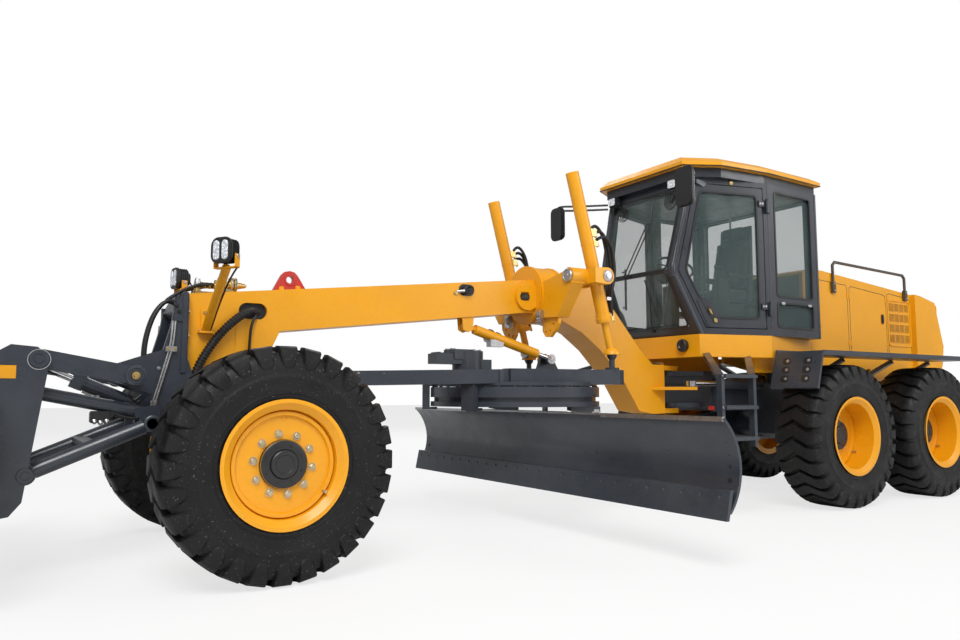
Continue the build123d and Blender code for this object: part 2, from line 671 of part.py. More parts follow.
for hand, name in ((1, "left"), (-1, "right")):
    with BuildPart() as fork:
        bar((wheel_base - 50, hand * lean_y, lean_z), (wheel_base + 50, hand * lean_y, lean_z), 60)
        block((wheel_base - 50, min(hand * 690, hand * 740), 460),
              (wheel_base + 50, max(hand * 690, hand * 740), 870))
        block((wheel_base - 50, min(hand * 640, hand * 700), 820),
              (wheel_base + 50, max(hand * 640, hand * 700), 935))
        girder((wheel_base, hand * lean_y, 480), (wheel_base, hand * 740, 480), 100, 80)
        for low in (knuckle_low - slide_gap - 46, knuckle_high + slide_gap):
            block((wheel_base - 50, min(hand * 700, hand * kingpin_y), low),
                  (wheel_base + 50, max(hand * 700, hand * kingpin_y), low + 46))
            bar((wheel_base, hand * kingpin_y, low), (wheel_base, hand * kingpin_y, low + 46), 50)
        bar((wheel_base, hand * kingpin_y, knuckle_low - 40),
            (wheel_base, hand * kingpin_y, knuckle_high + 40),
            kingpin_radius)
        bar((wheel_base - 60, hand * lean_y, lean_z), (wheel_base + 60, hand * lean_y, lean_z),
            lean_pin_radius + running_fit, Mode.SUBTRACT)
    finish(fork, f"lean_fork_{name}")
    spindle_tip = track_half + front_dish[3] - 46
    with BuildPart() as knuckle:
        bar((wheel_base, hand * kingpin_y, knuckle_low), (wheel_base, hand * kingpin_y, knuckle_high), 78)
        bar((wheel_base, hand * (kingpin_y + 40), axle_height),
            (wheel_base, hand * spindle_tip, axle_height),
            spindle_radius)
        bar((wheel_base, hand * (kingpin_y + 40), axle_height), (wheel_base, hand * 985, axle_height), 85)
        # steering arm to the rear
        girder((wheel_base - 60, hand * kingpin_y, 620),
               (wheel_base - 210, hand * (kingpin_y - 10), 620), 50, 36)
        bar((wheel_base - 210, hand * (kingpin_y - 10), 602),
            (wheel_base - 210, hand * (kingpin_y - 10), 638), 40)
        bar((wheel_base, hand * kingpin_y, knuckle_low - 1),
            (wheel_base, hand * kingpin_y, knuckle_high + 1),
            kingpin_radius + running_fit, Mode.SUBTRACT)
    finish(knuckle, f"knuckle_{name}")

with BuildPart() as lean_bar:
    bar((lean_bar_x, -lean_y, fork_top), (lean_bar_x, lean_y, fork_top), 22)
    for hand in (1, -1):
        bar((lean_bar_x - 22, hand * lean_y, fork_top), (lean_bar_x + 22, hand * lean_y, fork_top), 42)
finish(lean_bar, "lean_bar")

# ---------------------------------------------------------------- saddle and lift cylinders
lift_y = 600
yoke = (3352, 2020)      # trunnion of each lift cylinder
lift_eye = (3177, 1370)  # ball at the drawbar's rear corner
lift_top_z = 2900
lift_low_z = 1650        # lower end of the barrels
lift_rod_top = 2665
trunnion_radius = 30
lift_barrel_radius = 56
lift_rod_radius = 32
lift_ball_radius = 42
lift_ball_room = 16      # the rod's cup stands clear of the ball it is opened at
yoke_stand = 104         # from a lift cylinder's trunnion to the yoke's plate
yoke_plate = yoke[0] + yoke_stand
boss_reach = 121         # from the yoke's plate to the middle of the lift arms' plates
arm_x = yoke_plate + boss_reach
drum_ahead = 80          # the drum reaches this far in front of the arms' middle, and behind it
drum_behind = 177
drum_front = arm_x + drum_ahead
drum_rear = arm_x - drum_behind
drum_z = 1916
drum_radius = 262
drum_ring = 30           # length of the drum's end rings
arm_thick = 126
lock_boss = (3749, 1885)
lock_boss_radius = 122
band_half = 50           # half length of the band round a lift cylinder's barrel
trunnion_reach = 156
cheek_gap = 96           # from a lift cylinder's axis to the yoke's cheeks

with BuildPart() as saddle:
    bar((drum_rear, 0, drum_z), (drum_front, 0, drum_z), drum_radius - 8)
    for x in (drum_rear, drum_front - drum_ring):
        bar((x, 0, drum_z), (x + drum_ring, 0, drum_z), drum_radius)
    for hand in (1, -1):
        # arm: a thick cross plate that rises from the drum to the lift cylinder
        arm = [(hand * y, z) for y, z in
               ((190, 1700), (440, 1690), (650, 1960), (600, 2090), (520, 2060), (190, 2000))]
        sheet(arm, arm_x, arm_thick)
        # lock pin lug below the arm
        lug = [(hand * y, z) for y, z in
               ((200, 1705), (205, 1580), (245, 1532), (310, 1528), (390, 1590), (425, 1640), (430, 1705))]
        sheet(lug, arm_x + 20, 30)
        for y, z in ((250, 1570), (310, 1580), (355, 1635)):
            bar((arm_x, hand * y, z), (arm_x + 40, hand * y, z), 15, Mode.SUBTRACT)
        # boss along the machine, and the yoke behind it
        bar((yoke_plate + 4, hand * lift_y, yoke[1]), (arm_x + arm_thick / 2, hand * lift_y, yoke[1]), 70)
        reach = trunnion_reach + 4
        block((yoke_plate, hand * lift_y - reach, yoke[1] - 62),
              (yoke_plate + 28, hand * lift_y + reach, yoke[1] + 62))
        for outer in (1, -1):
            y = hand * lift_y + outer * (cheek_gap + reach) / 2
            cheek = [(yoke_plate + 10, yoke[1] - 62), (yoke_plate + 10, yoke[1] + 62),
                     (yoke[0], yoke[1] + 70), (yoke[0], yoke[1] - 70)]
            slab(cheek, y, reach - cheek_gap)
            bar((yoke[0], y - (reach - cheek_gap) / 2, yoke[1]),
                (yoke[0], y + (reach - cheek_gap) / 2, yoke[1]),
                70)
        bar((yoke[0], hand * lift_y - reach - 1, yoke[1]), (yoke[0], hand * lift_y + reach + 1, yoke[1]),
            trunnion_radius + running_fit, Mode.SUBTRACT)
    slab(frame_outline, 0, 2 * beam_half, Mode.SUBTRACT)
    # bosses of the lock on the beam's flanks, each with its window
    for hand in (1, -1):
        bar((lock_boss[0], hand * beam_half, lock_boss[1]),
            (lock_boss[0], hand * (beam_half + 32), lock_boss[1]),
            lock_boss_radius)
        block((lock_boss[0] - 10, hand * (beam_half + 26) - 10, lock_boss[1] - 36),
              (lock_boss[0] + 74, hand * (beam_half + 26) + 10, lock_boss[1] + 34), Mode.SUBTRACT)
finish(saddle, "saddle")

lift_run = Vector(lift_eye[0] - yoke[0], 0, lift_eye[1] - yoke[1])
lift_angle = atan2(yoke[0] - lift_eye[0], yoke[1] - lift_eye[1])


def along_lift(hand, z):
    """Station on a lift cylinder's axis at a height."""
    return (lift_eye[0] + (z - lift_eye[1]) * tan(lift_angle), hand * lift_y, z)


for hand, name in ((1, "left"), (-1, "right")):
    with BuildPart() as lift_barrel:
        bar(along_lift(hand, lift_low_z), along_lift(hand, lift_top_z), lift_barrel_radius)
        bar(along_lift(hand, lift_low_z), along_lift(hand, lift_low_z + 70), lift_barrel_radius + 8)
        bar(along_lift(hand, yoke[1] - band_half), along_lift(hand, yoke[1] + band_half),
            lift_barrel_radius + 24)
        for outer in (1, -1):
            bar((yoke[0], hand * lift_y + outer * 40, yoke[1]),
                (yoke[0], hand * lift_y + outer * trunnion_reach, yoke[1]), trunnion_radius)
        bar(along_lift(hand, lift_low_z - 9), along_lift(hand, lift_top_z - 30),
            lift_rod_radius + running_fit,
            Mode.SUBTRACT)
    finish(lift_barrel, f"lift_barrel_{name}")
    with BuildPart() as lift_rod:
        bar(along_lift(hand, lift_eye[1] + 50), along_lift(hand, lift_rod_top), lift_rod_radius)
        cup_radius = lift_ball_radius + lift_ball_room + 14
        ball((lift_eye[0], hand * lift_y, lift_eye[1]), cup_radius)
        ball((lift_eye[0], hand * lift_y, lift_eye[1]), cup_radius - 14, Mode.SUBTRACT)
        block((lift_eye[0] - 90, hand * lift_y - 90, lift_eye[1] - 90),
              (lift_eye[0] + 90, hand * lift_y + 90, lift_eye[1] + 5), Mode.SUBTRACT)
    finish(lift_rod, f"lift_rod_{name}")

# ---------------------------------------------------------------- drawbar and circle
circle_x = 3770
circle_radius = 730
circle_bore = 640
circle_low = 940
circle_high = 1100
drawbar_low = circle_high + 10
drawbar_high = 1245
gear_teeth = 48
gear_tooth = 26
shoe_lip_drop = 28       # underside of the shoes' lips below the circle
shoe_lip_thick = 20

with BuildPart() as drawbar:
    ball((ball_x, 0, ball_z), ball_radius)
    girder((ball_x - 30, 0, ball_z), (ball_x - 260, 0, ball_z), 110, 90)
    for hand in (1, -1):
        girder((ball_x - 140, hand * 20, ball_z), (4120, hand * 480, 1185), 90, 110)
        plan = [(4180, hand * 420), (4180, hand * 540), (3140, hand * 660), (3080, hand * 640),
                (3080, hand * 520)]
        deck(plan, drawbar_low + 12, drawbar_high - drawbar_low - 12)
        bar((lift_eye[0], hand * lift_y, drawbar_high - 20), (lift_eye[0], hand * lift_y, lift_eye[1]), 24)
        bar((lift_eye[0], hand * lift_y, drawbar_high - 20),
            (lift_eye[0], hand * lift_y, drawbar_high + 20), 60)
        ball((lift_eye[0], hand * lift_y, lift_eye[1]), lift_ball_radius)
    block((3090, -560, drawbar_low + 12), (3230, 560, drawbar_high - 10))
    block((4000, -500, drawbar_low + 12), (4260, 500, drawbar_high - 10))
    # ring plate over the circle, with its middle open
    bar((circle_x, 0, drawbar_low), (circle_x, 0, drawbar_low + 30), circle_radius - 20)
    bar((circle_x, 0, drawbar_low - 1), (circle_x, 0, drawbar_low + 12), circle_bore - 60, Mode.SUBTRACT)
    block((3240, -420, drawbar_low - 1), (3990, 420, drawbar_low + 40), Mode.SUBTRACT)
    # shoes that carry the circle's rim
    for azimuth in (28, -28, 180):
        with BuildSketch(Plane.XY.offset(circle_low - shoe_lip_drop - hitch_z)) as shoe:
            with Locations(Location((circle_x - hitch_x, 0, 0), (0, 0, azimuth))):
                with Locations((circle_radius + 40, 0)):
                    Rectangle(64, 120)
        extrude(shoe.sketch, amount=drawbar_low + 30 - circle_low + shoe_lip_drop)
        with BuildSketch(Plane.XY.offset(circle_low - shoe_lip_drop - hitch_z)) as lip:
            with Locations(Location((circle_x - hitch_x, 0, 0), (0, 0, azimuth))):
                with Locations((circle_radius + 5, 0)):
                    Rectangle(120, 120)
        extrude(lip.sketch, amount=shoe_lip_thick)
        with BuildSketch(Plane.XY.offset(drawbar_low - hitch_z)) as bridge:
            with Locations(Location((circle_x - hitch_x, 0, 0), (0, 0, azimuth))):
                with Locations((circle_radius - 10, 0)):
                    Rectangle(160, 120)
        extrude(bridge.sketch, amount=30)
    # circle drive: gearbox and motor
    bar((4250, 0, drawbar_high - 10), (4250, 0, 1400), 130)
    block((4080, -110, drawbar_high - 10), (4330, 110, 1330))
    block((4240, -90, 1330), (4430, 90, 1412))
    block((4300, -80, 1290), (4587, 80, 1375))
    # tower of the centre-shift cylinder
    tower = [(3300, drawbar_high - 20), (3560, drawbar_high - 20), (3500, 1395), (3400, 1395)]
    slab(tower, 28, 36)
    block((3230, -200, drawbar_low + 12), (3700, 200, drawbar_high - 20))
finish(drawbar, "drawbar")

pitch_axis = (3760, 400) # the moldboard tips about this line
arm_y = 590

with BuildPart() as circle:
    with BuildSketch(level(circle_low)):
        with Locations((circle_x, 0)):
            Circle(circle_radius)
            Circle(circle_bore, mode=Mode.SUBTRACT)
    extrude(amount=circle_high - circle_low)
    with BuildSketch(level(circle_low + 40)):
        with Locations((circle_x, 0)):
            Circle(circle_radius + 1)
            Circle(circle_radius - 30, mode=Mode.SUBTRACT)
    extrude(amount=36, mode=Mode.SUBTRACT)
    # internal gear teeth
    with BuildSketch(level(circle_low + 100)) as teeth:
        with Locations((circle_x, 0)):
            with PolarLocations(circle_bore - gear_tooth / 2 + 3, gear_teeth):
                Rectangle(gear_tooth + 6, 2 * pi * circle_bore / gear_teeth * 0.45)
    extrude(teeth.sketch, amount=circle_high - circle_low - 110)
    # arms that hang the moldboard from the circle
    for hand in (1, -1):
        hanger = [(3330, circle_low), (3640, circle_low), (3640, circle_low - 30), (3450, circle_low - 70),
                  (3430, 600), (3700, 450), (3800, 415), (3760, 352), (3640, 352), (3330, 520)]
        slab(hanger, hand * arm_y, 56)
        bar((pitch_axis[0], hand * (arm_y - 28), pitch_axis[1]),
            (pitch_axis[0], hand * (arm_y + 28), pitch_axis[1]), 50)
        bar((pitch_axis[0], hand * (arm_y - 29), pitch_axis[1]),
            (pitch_axis[0], hand * (arm_y + 29), pitch_axis[1]),
            30 + running_fit, Mode.SUBTRACT)
    block((3340, -arm_y, 600), (3390, arm_y, 760))
finish(circle, "circle")

# ---------------------------------------------------------------- moldboard
blade_left = 2400
blade_right = -1565
blade_thick = 22
# Concave front face: bottom edge, deepest point, top lip.
face = [(3895, 300), (3790, 610), (3925, 890)]
shift_z = 855            # side-shift cylinder above the rails
shift_x = 3640
rail_levels = (540, 760)

with BuildPart() as moldboard:
    with BuildSketch(side(blade_left)):
        with BuildLine():
            ThreePointArc((face[0][0], face[0][1] + 30), face[1], face[2])
            Line(face[2], (face[2][0] - 10, face[2][1] + 14))
            ThreePointArc((face[2][0] - 10, face[2][1] + 14), (face[1][0] - blade_thick, face[1][1]),
                          (face[0][0] - blade_thick, face[0][1] + 30))
            Line((face[0][0] - blade_thick, face[0][1] + 30), (face[0][0], face[0][1] + 30))
        make_face()
    extrude(amount=blade_left - blade_right)
    for z in rail_levels:
        block((3735, blade_right + 260, z - 25), (3800, blade_left - 260, z + 25))
    # cut the rails back to the plate's rear face
    with BuildSketch(side(blade_left)) as front_room:
        with BuildLine():
            ThreePointArc((face[0][0], face[0][1] + 30), face[1], face[2])
            Line(face[2], (4100, 900))
            Line((4100, 900), (4100, 330))
            Line((4100, 330), (face[0][0], face[0][1] + 30))
        make_face()
    extrude(front_room.sketch, amount=blade_left - blade_right, mode=Mode.SUBTRACT)
    # bracket of the side-shift rod
    slab([(3600, 800), (3600, 888), (3680, 888), (3800, 760), (3775, 700), (3740, 700)], 1640, 40)
    bar((shift_x, 1619, shift_z), (shift_x, 1661, shift_z), 24, Mode.SUBTRACT)
finish(moldboard, "moldboard")

with BuildPart() as cutting_edge:
    with BuildSketch(side(blade_left)):
        Polygon((3895, 290), (3917, 290), (3880, 470), (3850, 470), align=None)
    extrude(amount=blade_left - blade_right)
    add(moldboard.part, mode=Mode.SUBTRACT)
finish(cutting_edge, "cutting_edge")

with BuildPart() as side_shift_rod:
    bar((shift_x, 300, shift_z), (shift_x, 1660, shift_z), 24)
finish(side_shift_rod, "side_shift_rod")

carrier_y = 480
with BuildPart() as tilt_frame:
    for hand in (1, -1):
        y = hand * carrier_y
        slab([(3690, 345), (3790, 345), (3810, 400), (3790, 450), (3728, 490), (3728, 888), (3600, 888),
              (3640, 500)], y, 70)
        bar((pitch_axis[0], y, pitch_axis[1]), (pitch_axis[0], hand * (arm_y + 26), pitch_axis[1]), 30)
    bar((3660, -carrier_y, 640), (3660, carrier_y, 640), 40)
    bar((shift_x, -1000, shift_z), (shift_x, 552, shift_z), 46)
    bar((shift_x, -960, shift_z), (shift_x, 553, shift_z), 24 + running_fit, Mode.SUBTRACT)
finish(tilt_frame, "tilt_frame")

# ---------------------------------------------------------------- centre-shift cylinder
shift_eye = (3450, 1350)     # rod's eye beside the drawbar's tower
shift_run = hypot(shift_pin[0] - shift_eye[0], shift_pin[1] - shift_eye[1])


def along_shift(share):
    """Station on the centre-shift cylinder, from its barrel's pin (0) to its rod's eye (1)."""
    x = shift_pin[0] + (shift_eye[0] - shift_pin[0]) * share
    z = shift_pin[1] + (shift_eye[1] - shift_pin[1]) * share
    return (x, shift_y, z)


with BuildPart() as centre_barrel:
    bar((shift_pin[0], shift_y - 24, shift_pin[1]), (shift_pin[0], shift_y + 24, shift_pin[1]), 40)
    bar(along_shift(0.03), along_shift(0.12), 22)
    bar(along_shift(0.1), along_shift(0.83), 42)
    bar((shift_pin[0], shift_y - 25, shift_pin[1]), (shift_pin[0], shift_y + 25, shift_pin[1]),
        22 + running_fit, Mode.SUBTRACT)
    bar(along_shift(0.12), along_shift(0.84), 22 + running_fit, Mode.SUBTRACT)
finish(centre_barrel, "centre_shift_barrel")

with BuildPart() as centre_rod:
    bar(along_shift(0.3), along_shift(0.97), 22)
    bar((shift_eye[0], shift_y - 24, shift_eye[1]), (shift_eye[0], shift_y + 24, shift_eye[1]), 44)
finish(centre_rod, "centre_shift_rod")

# ---------------------------------------------------------------- articulation cylinder rods
for hand, name in ((1, "left"), (-1, "right")):
    with BuildPart() as artic_rod:
        bar((artic_anchor_x + 300, hand * artic_y, artic_z), (artic_eye_x - 20, hand * artic_y, artic_z),
            artic_rod_radius)
        bar((artic_eye_x, hand * artic_y, artic_z - 24), (artic_eye_x, hand * artic_y, artic_z + 24), 46)
    finish(artic_rod, f"articulation_rod_{name}")

# ---------------------------------------------------------------- front linkage and dozer blade
arm_pivot = (wheel_base + 561, 860)
arm_front = (wheel_base + 1231, 586)
link_back = (wheel_base + 671, 1155)
link_front = (wheel_base + 1191, 1240)
ram_back = (wheel_base + 581, 955)
ram_front = (wheel_base + 1166, 1215)
ram_y = 130
arm_y_out = 385          # push arms beside the centreline
link_y = 425             # upper link plates
link_thick = 30
carrier_side_y = 470
carrier_thick = 40
cheek_y = 200            # bracket cheeks
dozer_half = 1300
dozer_low = 335
dozer_high = 1230
link_pin_radius = 32
brace_back = (wheel_base + 600, 928)
brace_front = (wheel_base + 1190, 1052)
brace_y = 300

with BuildPart() as front_bracket:
    cheek = ahead([(333, 1716), (362, 1722), (424, 1604), (436, 1500), (481, 1330), (731, 1240),
                   (751, 1120),
                   (541, 1040), (631, 960), (641, 810), (521, 770), (221, 800), (221, 960), (333, 1290)])
    front_plate = ahead([(333, 1000), (333, 1716), (362, 1722), (424, 1604), (373, 1560), (373, 1000)])
    for hand in (1, -1):
        slab(cheek, hand * cheek_y, 36)
        bar((arm_pivot[0], hand * (cheek_y + 18), arm_pivot[1]),
            (arm_pivot[0], hand * (arm_y_out + 34), arm_pivot[1]), link_pin_radius)
        bar((link_back[0], hand * (cheek_y + 18), link_back[1]),
            (link_back[0], hand * (link_y - link_thick / 2 - 6), link_back[1]), link_pin_radius + 18)
    slab(front_plate, 0, 2 * cheek_y - 36)
    block((wheel_base + 381, -cheek_y + 18, 800), (wheel_base + 441, cheek_y - 18, 840))
    bar((link_back[0], -link_y - 26, link_back[1]), (link_back[0], link_y + 26, link_back[1]),
        link_pin_radius)
    bar((ram_back[0], -cheek_y + 18, ram_back[1]), (ram_back[0], cheek_y - 18, ram_back[1]), 28)
finish(front_bracket, "front_bracket")

with BuildPart() as front_arms:
    for hand in (1, -1):
        y = hand * arm_y_out
        bar((arm_pivot[0] + 45, y, arm_pivot[1] - 18), (arm_front[0] - 45, y, arm_front[1] + 18), 46)
        bar((arm_pivot[0], hand * (arm_y_out - 40), arm_pivot[1]),
            (arm_pivot[0], hand * (arm_y_out + 28), arm_pivot[1]), 54)
        bar((arm_front[0], y - 40, arm_front[1]), (arm_front[0], y + 40, arm_front[1]), 60)
        # box end and the round brace that runs beside the ram
        brace_box = ahead([(510, 900), (520, 975), (660, 955), (650, 895)])
        slab(brace_box, hand * (brace_y + 14), 84)
        slab([(arm_pivot[0] - 45, arm_pivot[1]), (arm_pivot[0] - 40, 930), (arm_pivot[0] + 70, 930),
              (arm_pivot[0] + 60, arm_pivot[1])], hand * (brace_y + 46), 20)
        bar((brace_back[0], hand * brace_y, brace_back[1]),
            (brace_front[0], hand * brace_y, brace_front[1]), 40)
        for spot in (arm_pivot, arm_front):
            bar((spot[0], y - 60, spot[1]), (spot[0], y + 60, spot[1]), link_pin_radius + running_fit,
                Mode.SUBTRACT)
    cross_x = (arm_pivot[0] + arm_front[0]) / 2
    cross_z = (arm_pivot[1] + arm_front[1]) / 2
    girder((cross_x, -arm_y_out, cross_z), (cross_x, arm_y_out, cross_z), 80, 70)
finish(front_arms, "front_arms")

with BuildPart() as front_link:
    for hand in (1, -1):
        y = hand * link_y
        slab([(link_back[0] + 10, link_back[1] - 52), (link_back[0] + 10, link_back[1] + 56),
              (link_front[0] - 20, link_front[1] + 62), (link_front[0] + 40, link_front[1] + 10),
              (link_front[0], link_front[1] - 50)], y, link_thick)
        for spot in (link_back, link_front):
            bar((spot[0], y - link_thick / 2, spot[1]), (spot[0], y + link_thick / 2, spot[1]), 62)
        bar((link_back[0], y - 40, link_back[1]), (link_back[0], y + 40, link_back[1]),
            link_pin_radius + running_fit,
            Mode.SUBTRACT)
finish(front_link, "front_link")


def along_ram(share):
    """Station on the front lift ram, from its barrel's pin (0) to its rod's eye (1)."""
    return (ram_back[0] + (ram_front[0] - ram_back[0]) * share, ram_y,
            ram_back[1] + (ram_front[1] - ram_back[1]) * share)


with BuildPart() as front_ram_barrel:
    bar((ram_back[0], ram_y - 30, ram_back[1]), (ram_back[0], ram_y + 30, ram_back[1]), 50)
    bar(along_ram(0.03), along_ram(0.15), 26)
    bar(along_ram(0.13), along_ram(0.62), 44)
    girder(along_ram(0.6), along_ram(0.7), 104, 100)
    bar((ram_back[0], ram_y - 31, ram_back[1]), (ram_back[0], ram_y + 31, ram_back[1]), 28 + running_fit,
        Mode.SUBTRACT)
    bar(along_ram(0.15), along_ram(0.71), 22 + running_fit, Mode.SUBTRACT)
finish(front_ram_barrel, "front_ram_barrel")

with BuildPart() as front_ram_rod:
    bar(along_ram(0.32), along_ram(0.97), 22)
    bar((ram_front[0], ram_y - 26, ram_front[1]), (ram_front[0], ram_y + 26, ram_front[1]), 40)
finish(front_ram_rod, "front_ram_rod")

with BuildPart() as front_carrier:
    for hand in (1, -1):
        cheek = ahead([(1145, 1170), (1169, 1280), (1200, 1312), (1333, 1323), (1420, 1265),
                       (1471, 1100), (1471, 420),
                       (1390, 352), (1300, 366), (1240, 440)])
        slab(cheek, hand * carrier_side_y, carrier_thick)
        bar((arm_front[0], hand * (arm_y_out - 60), arm_front[1]),
            (arm_front[0], hand * carrier_side_y, arm_front[1]),
            link_pin_radius)
        # lug of the ram's rod
        lug = ahead([(1131, 1190), (1131, 1250), (1180, 1262), (1341, 1140), (1401, 1100), (1401, 1000),
                     (1341, 1000)])
        slab(lug, ram_y + hand * 42, 16)
    block((wheel_base + 1341, -carrier_side_y, 420), (wheel_base + 1401, carrier_side_y, 520))
    block((wheel_base + 1341, -carrier_side_y, 1000), (wheel_base + 1401, carrier_side_y, 1100))
    # dozer blade: curved plate with stiffening edges
    toe, heel, deep = ahead([(1641, dozer_low), (1611, dozer_low), (1481, 760)])
    tip, back, deep_back = ahead([(1591, dozer_high), (1561, dozer_high), (1451, 760)])
    with BuildSketch(side(dozer_half)):
        with BuildLine():
            ThreePointArc(toe, deep, tip)
            Line(tip, back)
            ThreePointArc(back, deep_back, heel)
            Line(heel, toe)
        make_face()
    extrude(amount=2 * dozer_half)
    for z in (500, 1050):
        block((wheel_base + 1421, -dozer_half + 40, z - 40), (wheel_base + 1501, dozer_half - 40, z + 40))
    front_high, front_low = ahead([(1881, dozer_high), (1881, dozer_low)])
    with BuildSketch(side(dozer_half)) as dozer_front:
        with BuildLine():
            ThreePointArc(toe, deep, tip)
            Polyline(tip, front_high, front_low, toe)
        make_face()
    extrude(dozer_front.sketch, amount=2 * dozer_half, mode=Mode.SUBTRACT)
    for hand in (1, -1):
        block((wheel_base + 1381, hand * carrier_side_y - 20, 460),
              (wheel_base + 1481, hand * carrier_side_y + 20, 1090))
finish(front_carrier, "dozer_blade")

# ---------------------------------------------------------------- lamps and lifting lug
lamp_arm_x = wheel_base + 216
lamp_y = 700
lamp_z = 1930

with BuildPart() as work_lamps:
    for hand in (1, -1):
        bar((lamp_arm_x - 4, hand * (beam_half + 18), 1490),
            (lamp_arm_x, hand * (lamp_y - 55), lamp_z - 90), 26)
        block((lamp_arm_x - 45, hand * (beam_half + 12) - 12, 1440),
              (lamp_arm_x + 35, hand * (beam_half + 12) + 12, 1540))
        bar((lamp_arm_x, hand * (lamp_y - 56), lamp_z - 92),
            (lamp_arm_x, hand * (lamp_y - 10), lamp_z - 70), 26)
        with BuildSketch(cross(lamp_arm_x - 40)) as housing:
            with Locations((hand * lamp_y, lamp_z)):
                RectangleRounded(160, 160, 30)
        extrude(housing.sketch, amount=100)
finish(work_lamps, "work_lamps")

lug_hole_radius = 26
lug_spot = (wheel_base - 414, 1884)
# Outline from the hole: the feet lie on the beam, the top is round.
lug_outline = [(-125, -92), (125, -120), (118, -76), (62, 32), (36, 58), (0, 66), (-36, 58), (-62, 32),
               (-118, -56)]

with BuildPart() as lifting_lug:
    slab([(lug_spot[0] + x, lug_spot[1] + z) for x, z in lug_outline], 0, 40)
    bar((lug_spot[0], -21, lug_spot[1]), (lug_spot[0], 21, lug_spot[1]), lug_hole_radius, Mode.SUBTRACT)
    add(front_frame.part, mode=Mode.SUBTRACT)
finish(lifting_lug, "lifting_lug")
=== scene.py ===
import math
import bpy
import bmesh
from mathutils import Matrix, Vector


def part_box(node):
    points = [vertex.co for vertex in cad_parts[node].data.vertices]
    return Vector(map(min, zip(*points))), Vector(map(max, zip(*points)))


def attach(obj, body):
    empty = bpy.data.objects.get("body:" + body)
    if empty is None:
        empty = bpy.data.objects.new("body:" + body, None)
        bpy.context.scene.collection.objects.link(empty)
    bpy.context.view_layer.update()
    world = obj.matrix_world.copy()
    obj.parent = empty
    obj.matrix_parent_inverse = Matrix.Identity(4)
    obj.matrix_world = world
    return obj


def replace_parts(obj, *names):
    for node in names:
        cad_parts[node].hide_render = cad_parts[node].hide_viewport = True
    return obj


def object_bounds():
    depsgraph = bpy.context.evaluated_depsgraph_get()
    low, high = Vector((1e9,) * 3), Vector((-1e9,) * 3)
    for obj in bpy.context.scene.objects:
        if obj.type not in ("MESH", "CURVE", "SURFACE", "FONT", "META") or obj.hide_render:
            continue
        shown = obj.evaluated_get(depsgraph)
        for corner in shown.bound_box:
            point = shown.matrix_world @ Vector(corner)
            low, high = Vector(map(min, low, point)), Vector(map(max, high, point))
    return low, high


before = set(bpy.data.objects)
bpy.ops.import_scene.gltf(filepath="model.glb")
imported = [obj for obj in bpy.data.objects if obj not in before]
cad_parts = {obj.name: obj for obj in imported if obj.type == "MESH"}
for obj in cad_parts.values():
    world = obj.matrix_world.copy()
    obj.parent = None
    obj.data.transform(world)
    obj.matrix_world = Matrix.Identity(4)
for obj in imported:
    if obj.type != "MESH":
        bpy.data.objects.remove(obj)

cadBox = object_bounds()
scene = bpy.context.scene
floorZ = cadBox[0][2]
sideNames = {1: "left", -1: "right"}
bothSides = tuple(sideNames)

# Stations are millimetres forward of the tandem centre, left of the centreline and up from the ground.
hitchStation = {"x": -2330, "z": 760}


def at(x, y, z):
    return Vector(((x - hitchStation["x"]) / 1000, y / 1000, (z - hitchStation["z"]) / 1000))


# camera, floor and light
cameraSetup = {"spot": (9.9674, 5.5475, 0.2853), "yaw": 32.33, "pitch": 5.46, "lens": 28.90, "sensor": 36,
               "reach": 200}
lightSetup = {"skyStrength": 0.42, "floorTone": 0.82, "floorGlow": 0.72, "floorSize": 120,
              "floorSpot": (5, 0)}
# Lamps: name, place, size, power, all aimed at the machine's middle.
lampTable = [
    ("keyLamp", (13, 10, 11), 8, 1900),
    ("fillLamp", (-4, 11, 6), 8, 560),
    ("backLamp", (2, -12, 9), 8, 560),
]
lampAim = Vector((4.5, 0, 0.4))


def addObject(name, data):
    obj = bpy.data.objects.new(name, data)
    scene.collection.objects.link(obj)
    return obj


def makeCamera():
    data = bpy.data.cameras.new("camera")
    data.lens = cameraSetup["lens"]
    data.sensor_width = cameraSetup["sensor"]
    data.clip_end = cameraSetup["reach"]
    camera = addObject("camera", data)
    yaw, pitch = math.radians(cameraSetup["yaw"]), math.radians(cameraSetup["pitch"])
    look = Vector((-math.sin(yaw) * math.cos(pitch), -math.cos(yaw) * math.cos(pitch), math.sin(pitch)))
    camera.location = cameraSetup["spot"]
    camera.rotation_euler = look.to_track_quat("-Z", "Y").to_euler()
    scene.camera = camera


def seenDirectly(tree):
    # 1 for camera and transmission rays, 0 for the rest
    path = tree.nodes.new("ShaderNodeLightPath")
    seen = tree.nodes.new("ShaderNodeMath")
    seen.operation = "MAXIMUM"
    tree.links.new(path.outputs["Is Camera Ray"], seen.inputs[0])
    tree.links.new(path.outputs["Is Transmission Ray"], seen.inputs[1])
    return seen.outputs[0]


def mixedOutput(tree, kind, share, first, second):
    # the tree's output: the first shader, with a share of the second
    out = tree.nodes.new(kind)
    mix = tree.nodes.new("ShaderNodeMixShader")
    for socket, source in enumerate((share, first.outputs[0], second.outputs[0])):
        tree.links.new(source, mix.inputs[socket])
    tree.links.new(mix.outputs[0], out.inputs[0])


def emptyTree(owner):
    owner.use_nodes = True
    owner.node_tree.nodes.clear()
    return owner.node_tree


def makeWorld():
    scene.world = bpy.data.worlds.new("studio")
    tree = emptyTree(scene.world)
    skies = []
    for strength in (lightSetup["skyStrength"], 1):
        sky = tree.nodes.new("ShaderNodeBackground")
        sky.inputs["Strength"].default_value = strength
        sky.inputs["Color"].default_value = (1, 1, 1, 1)
        skies.append(sky)
    mixedOutput(tree, "ShaderNodeOutputWorld", seenDirectly(tree), *skies)


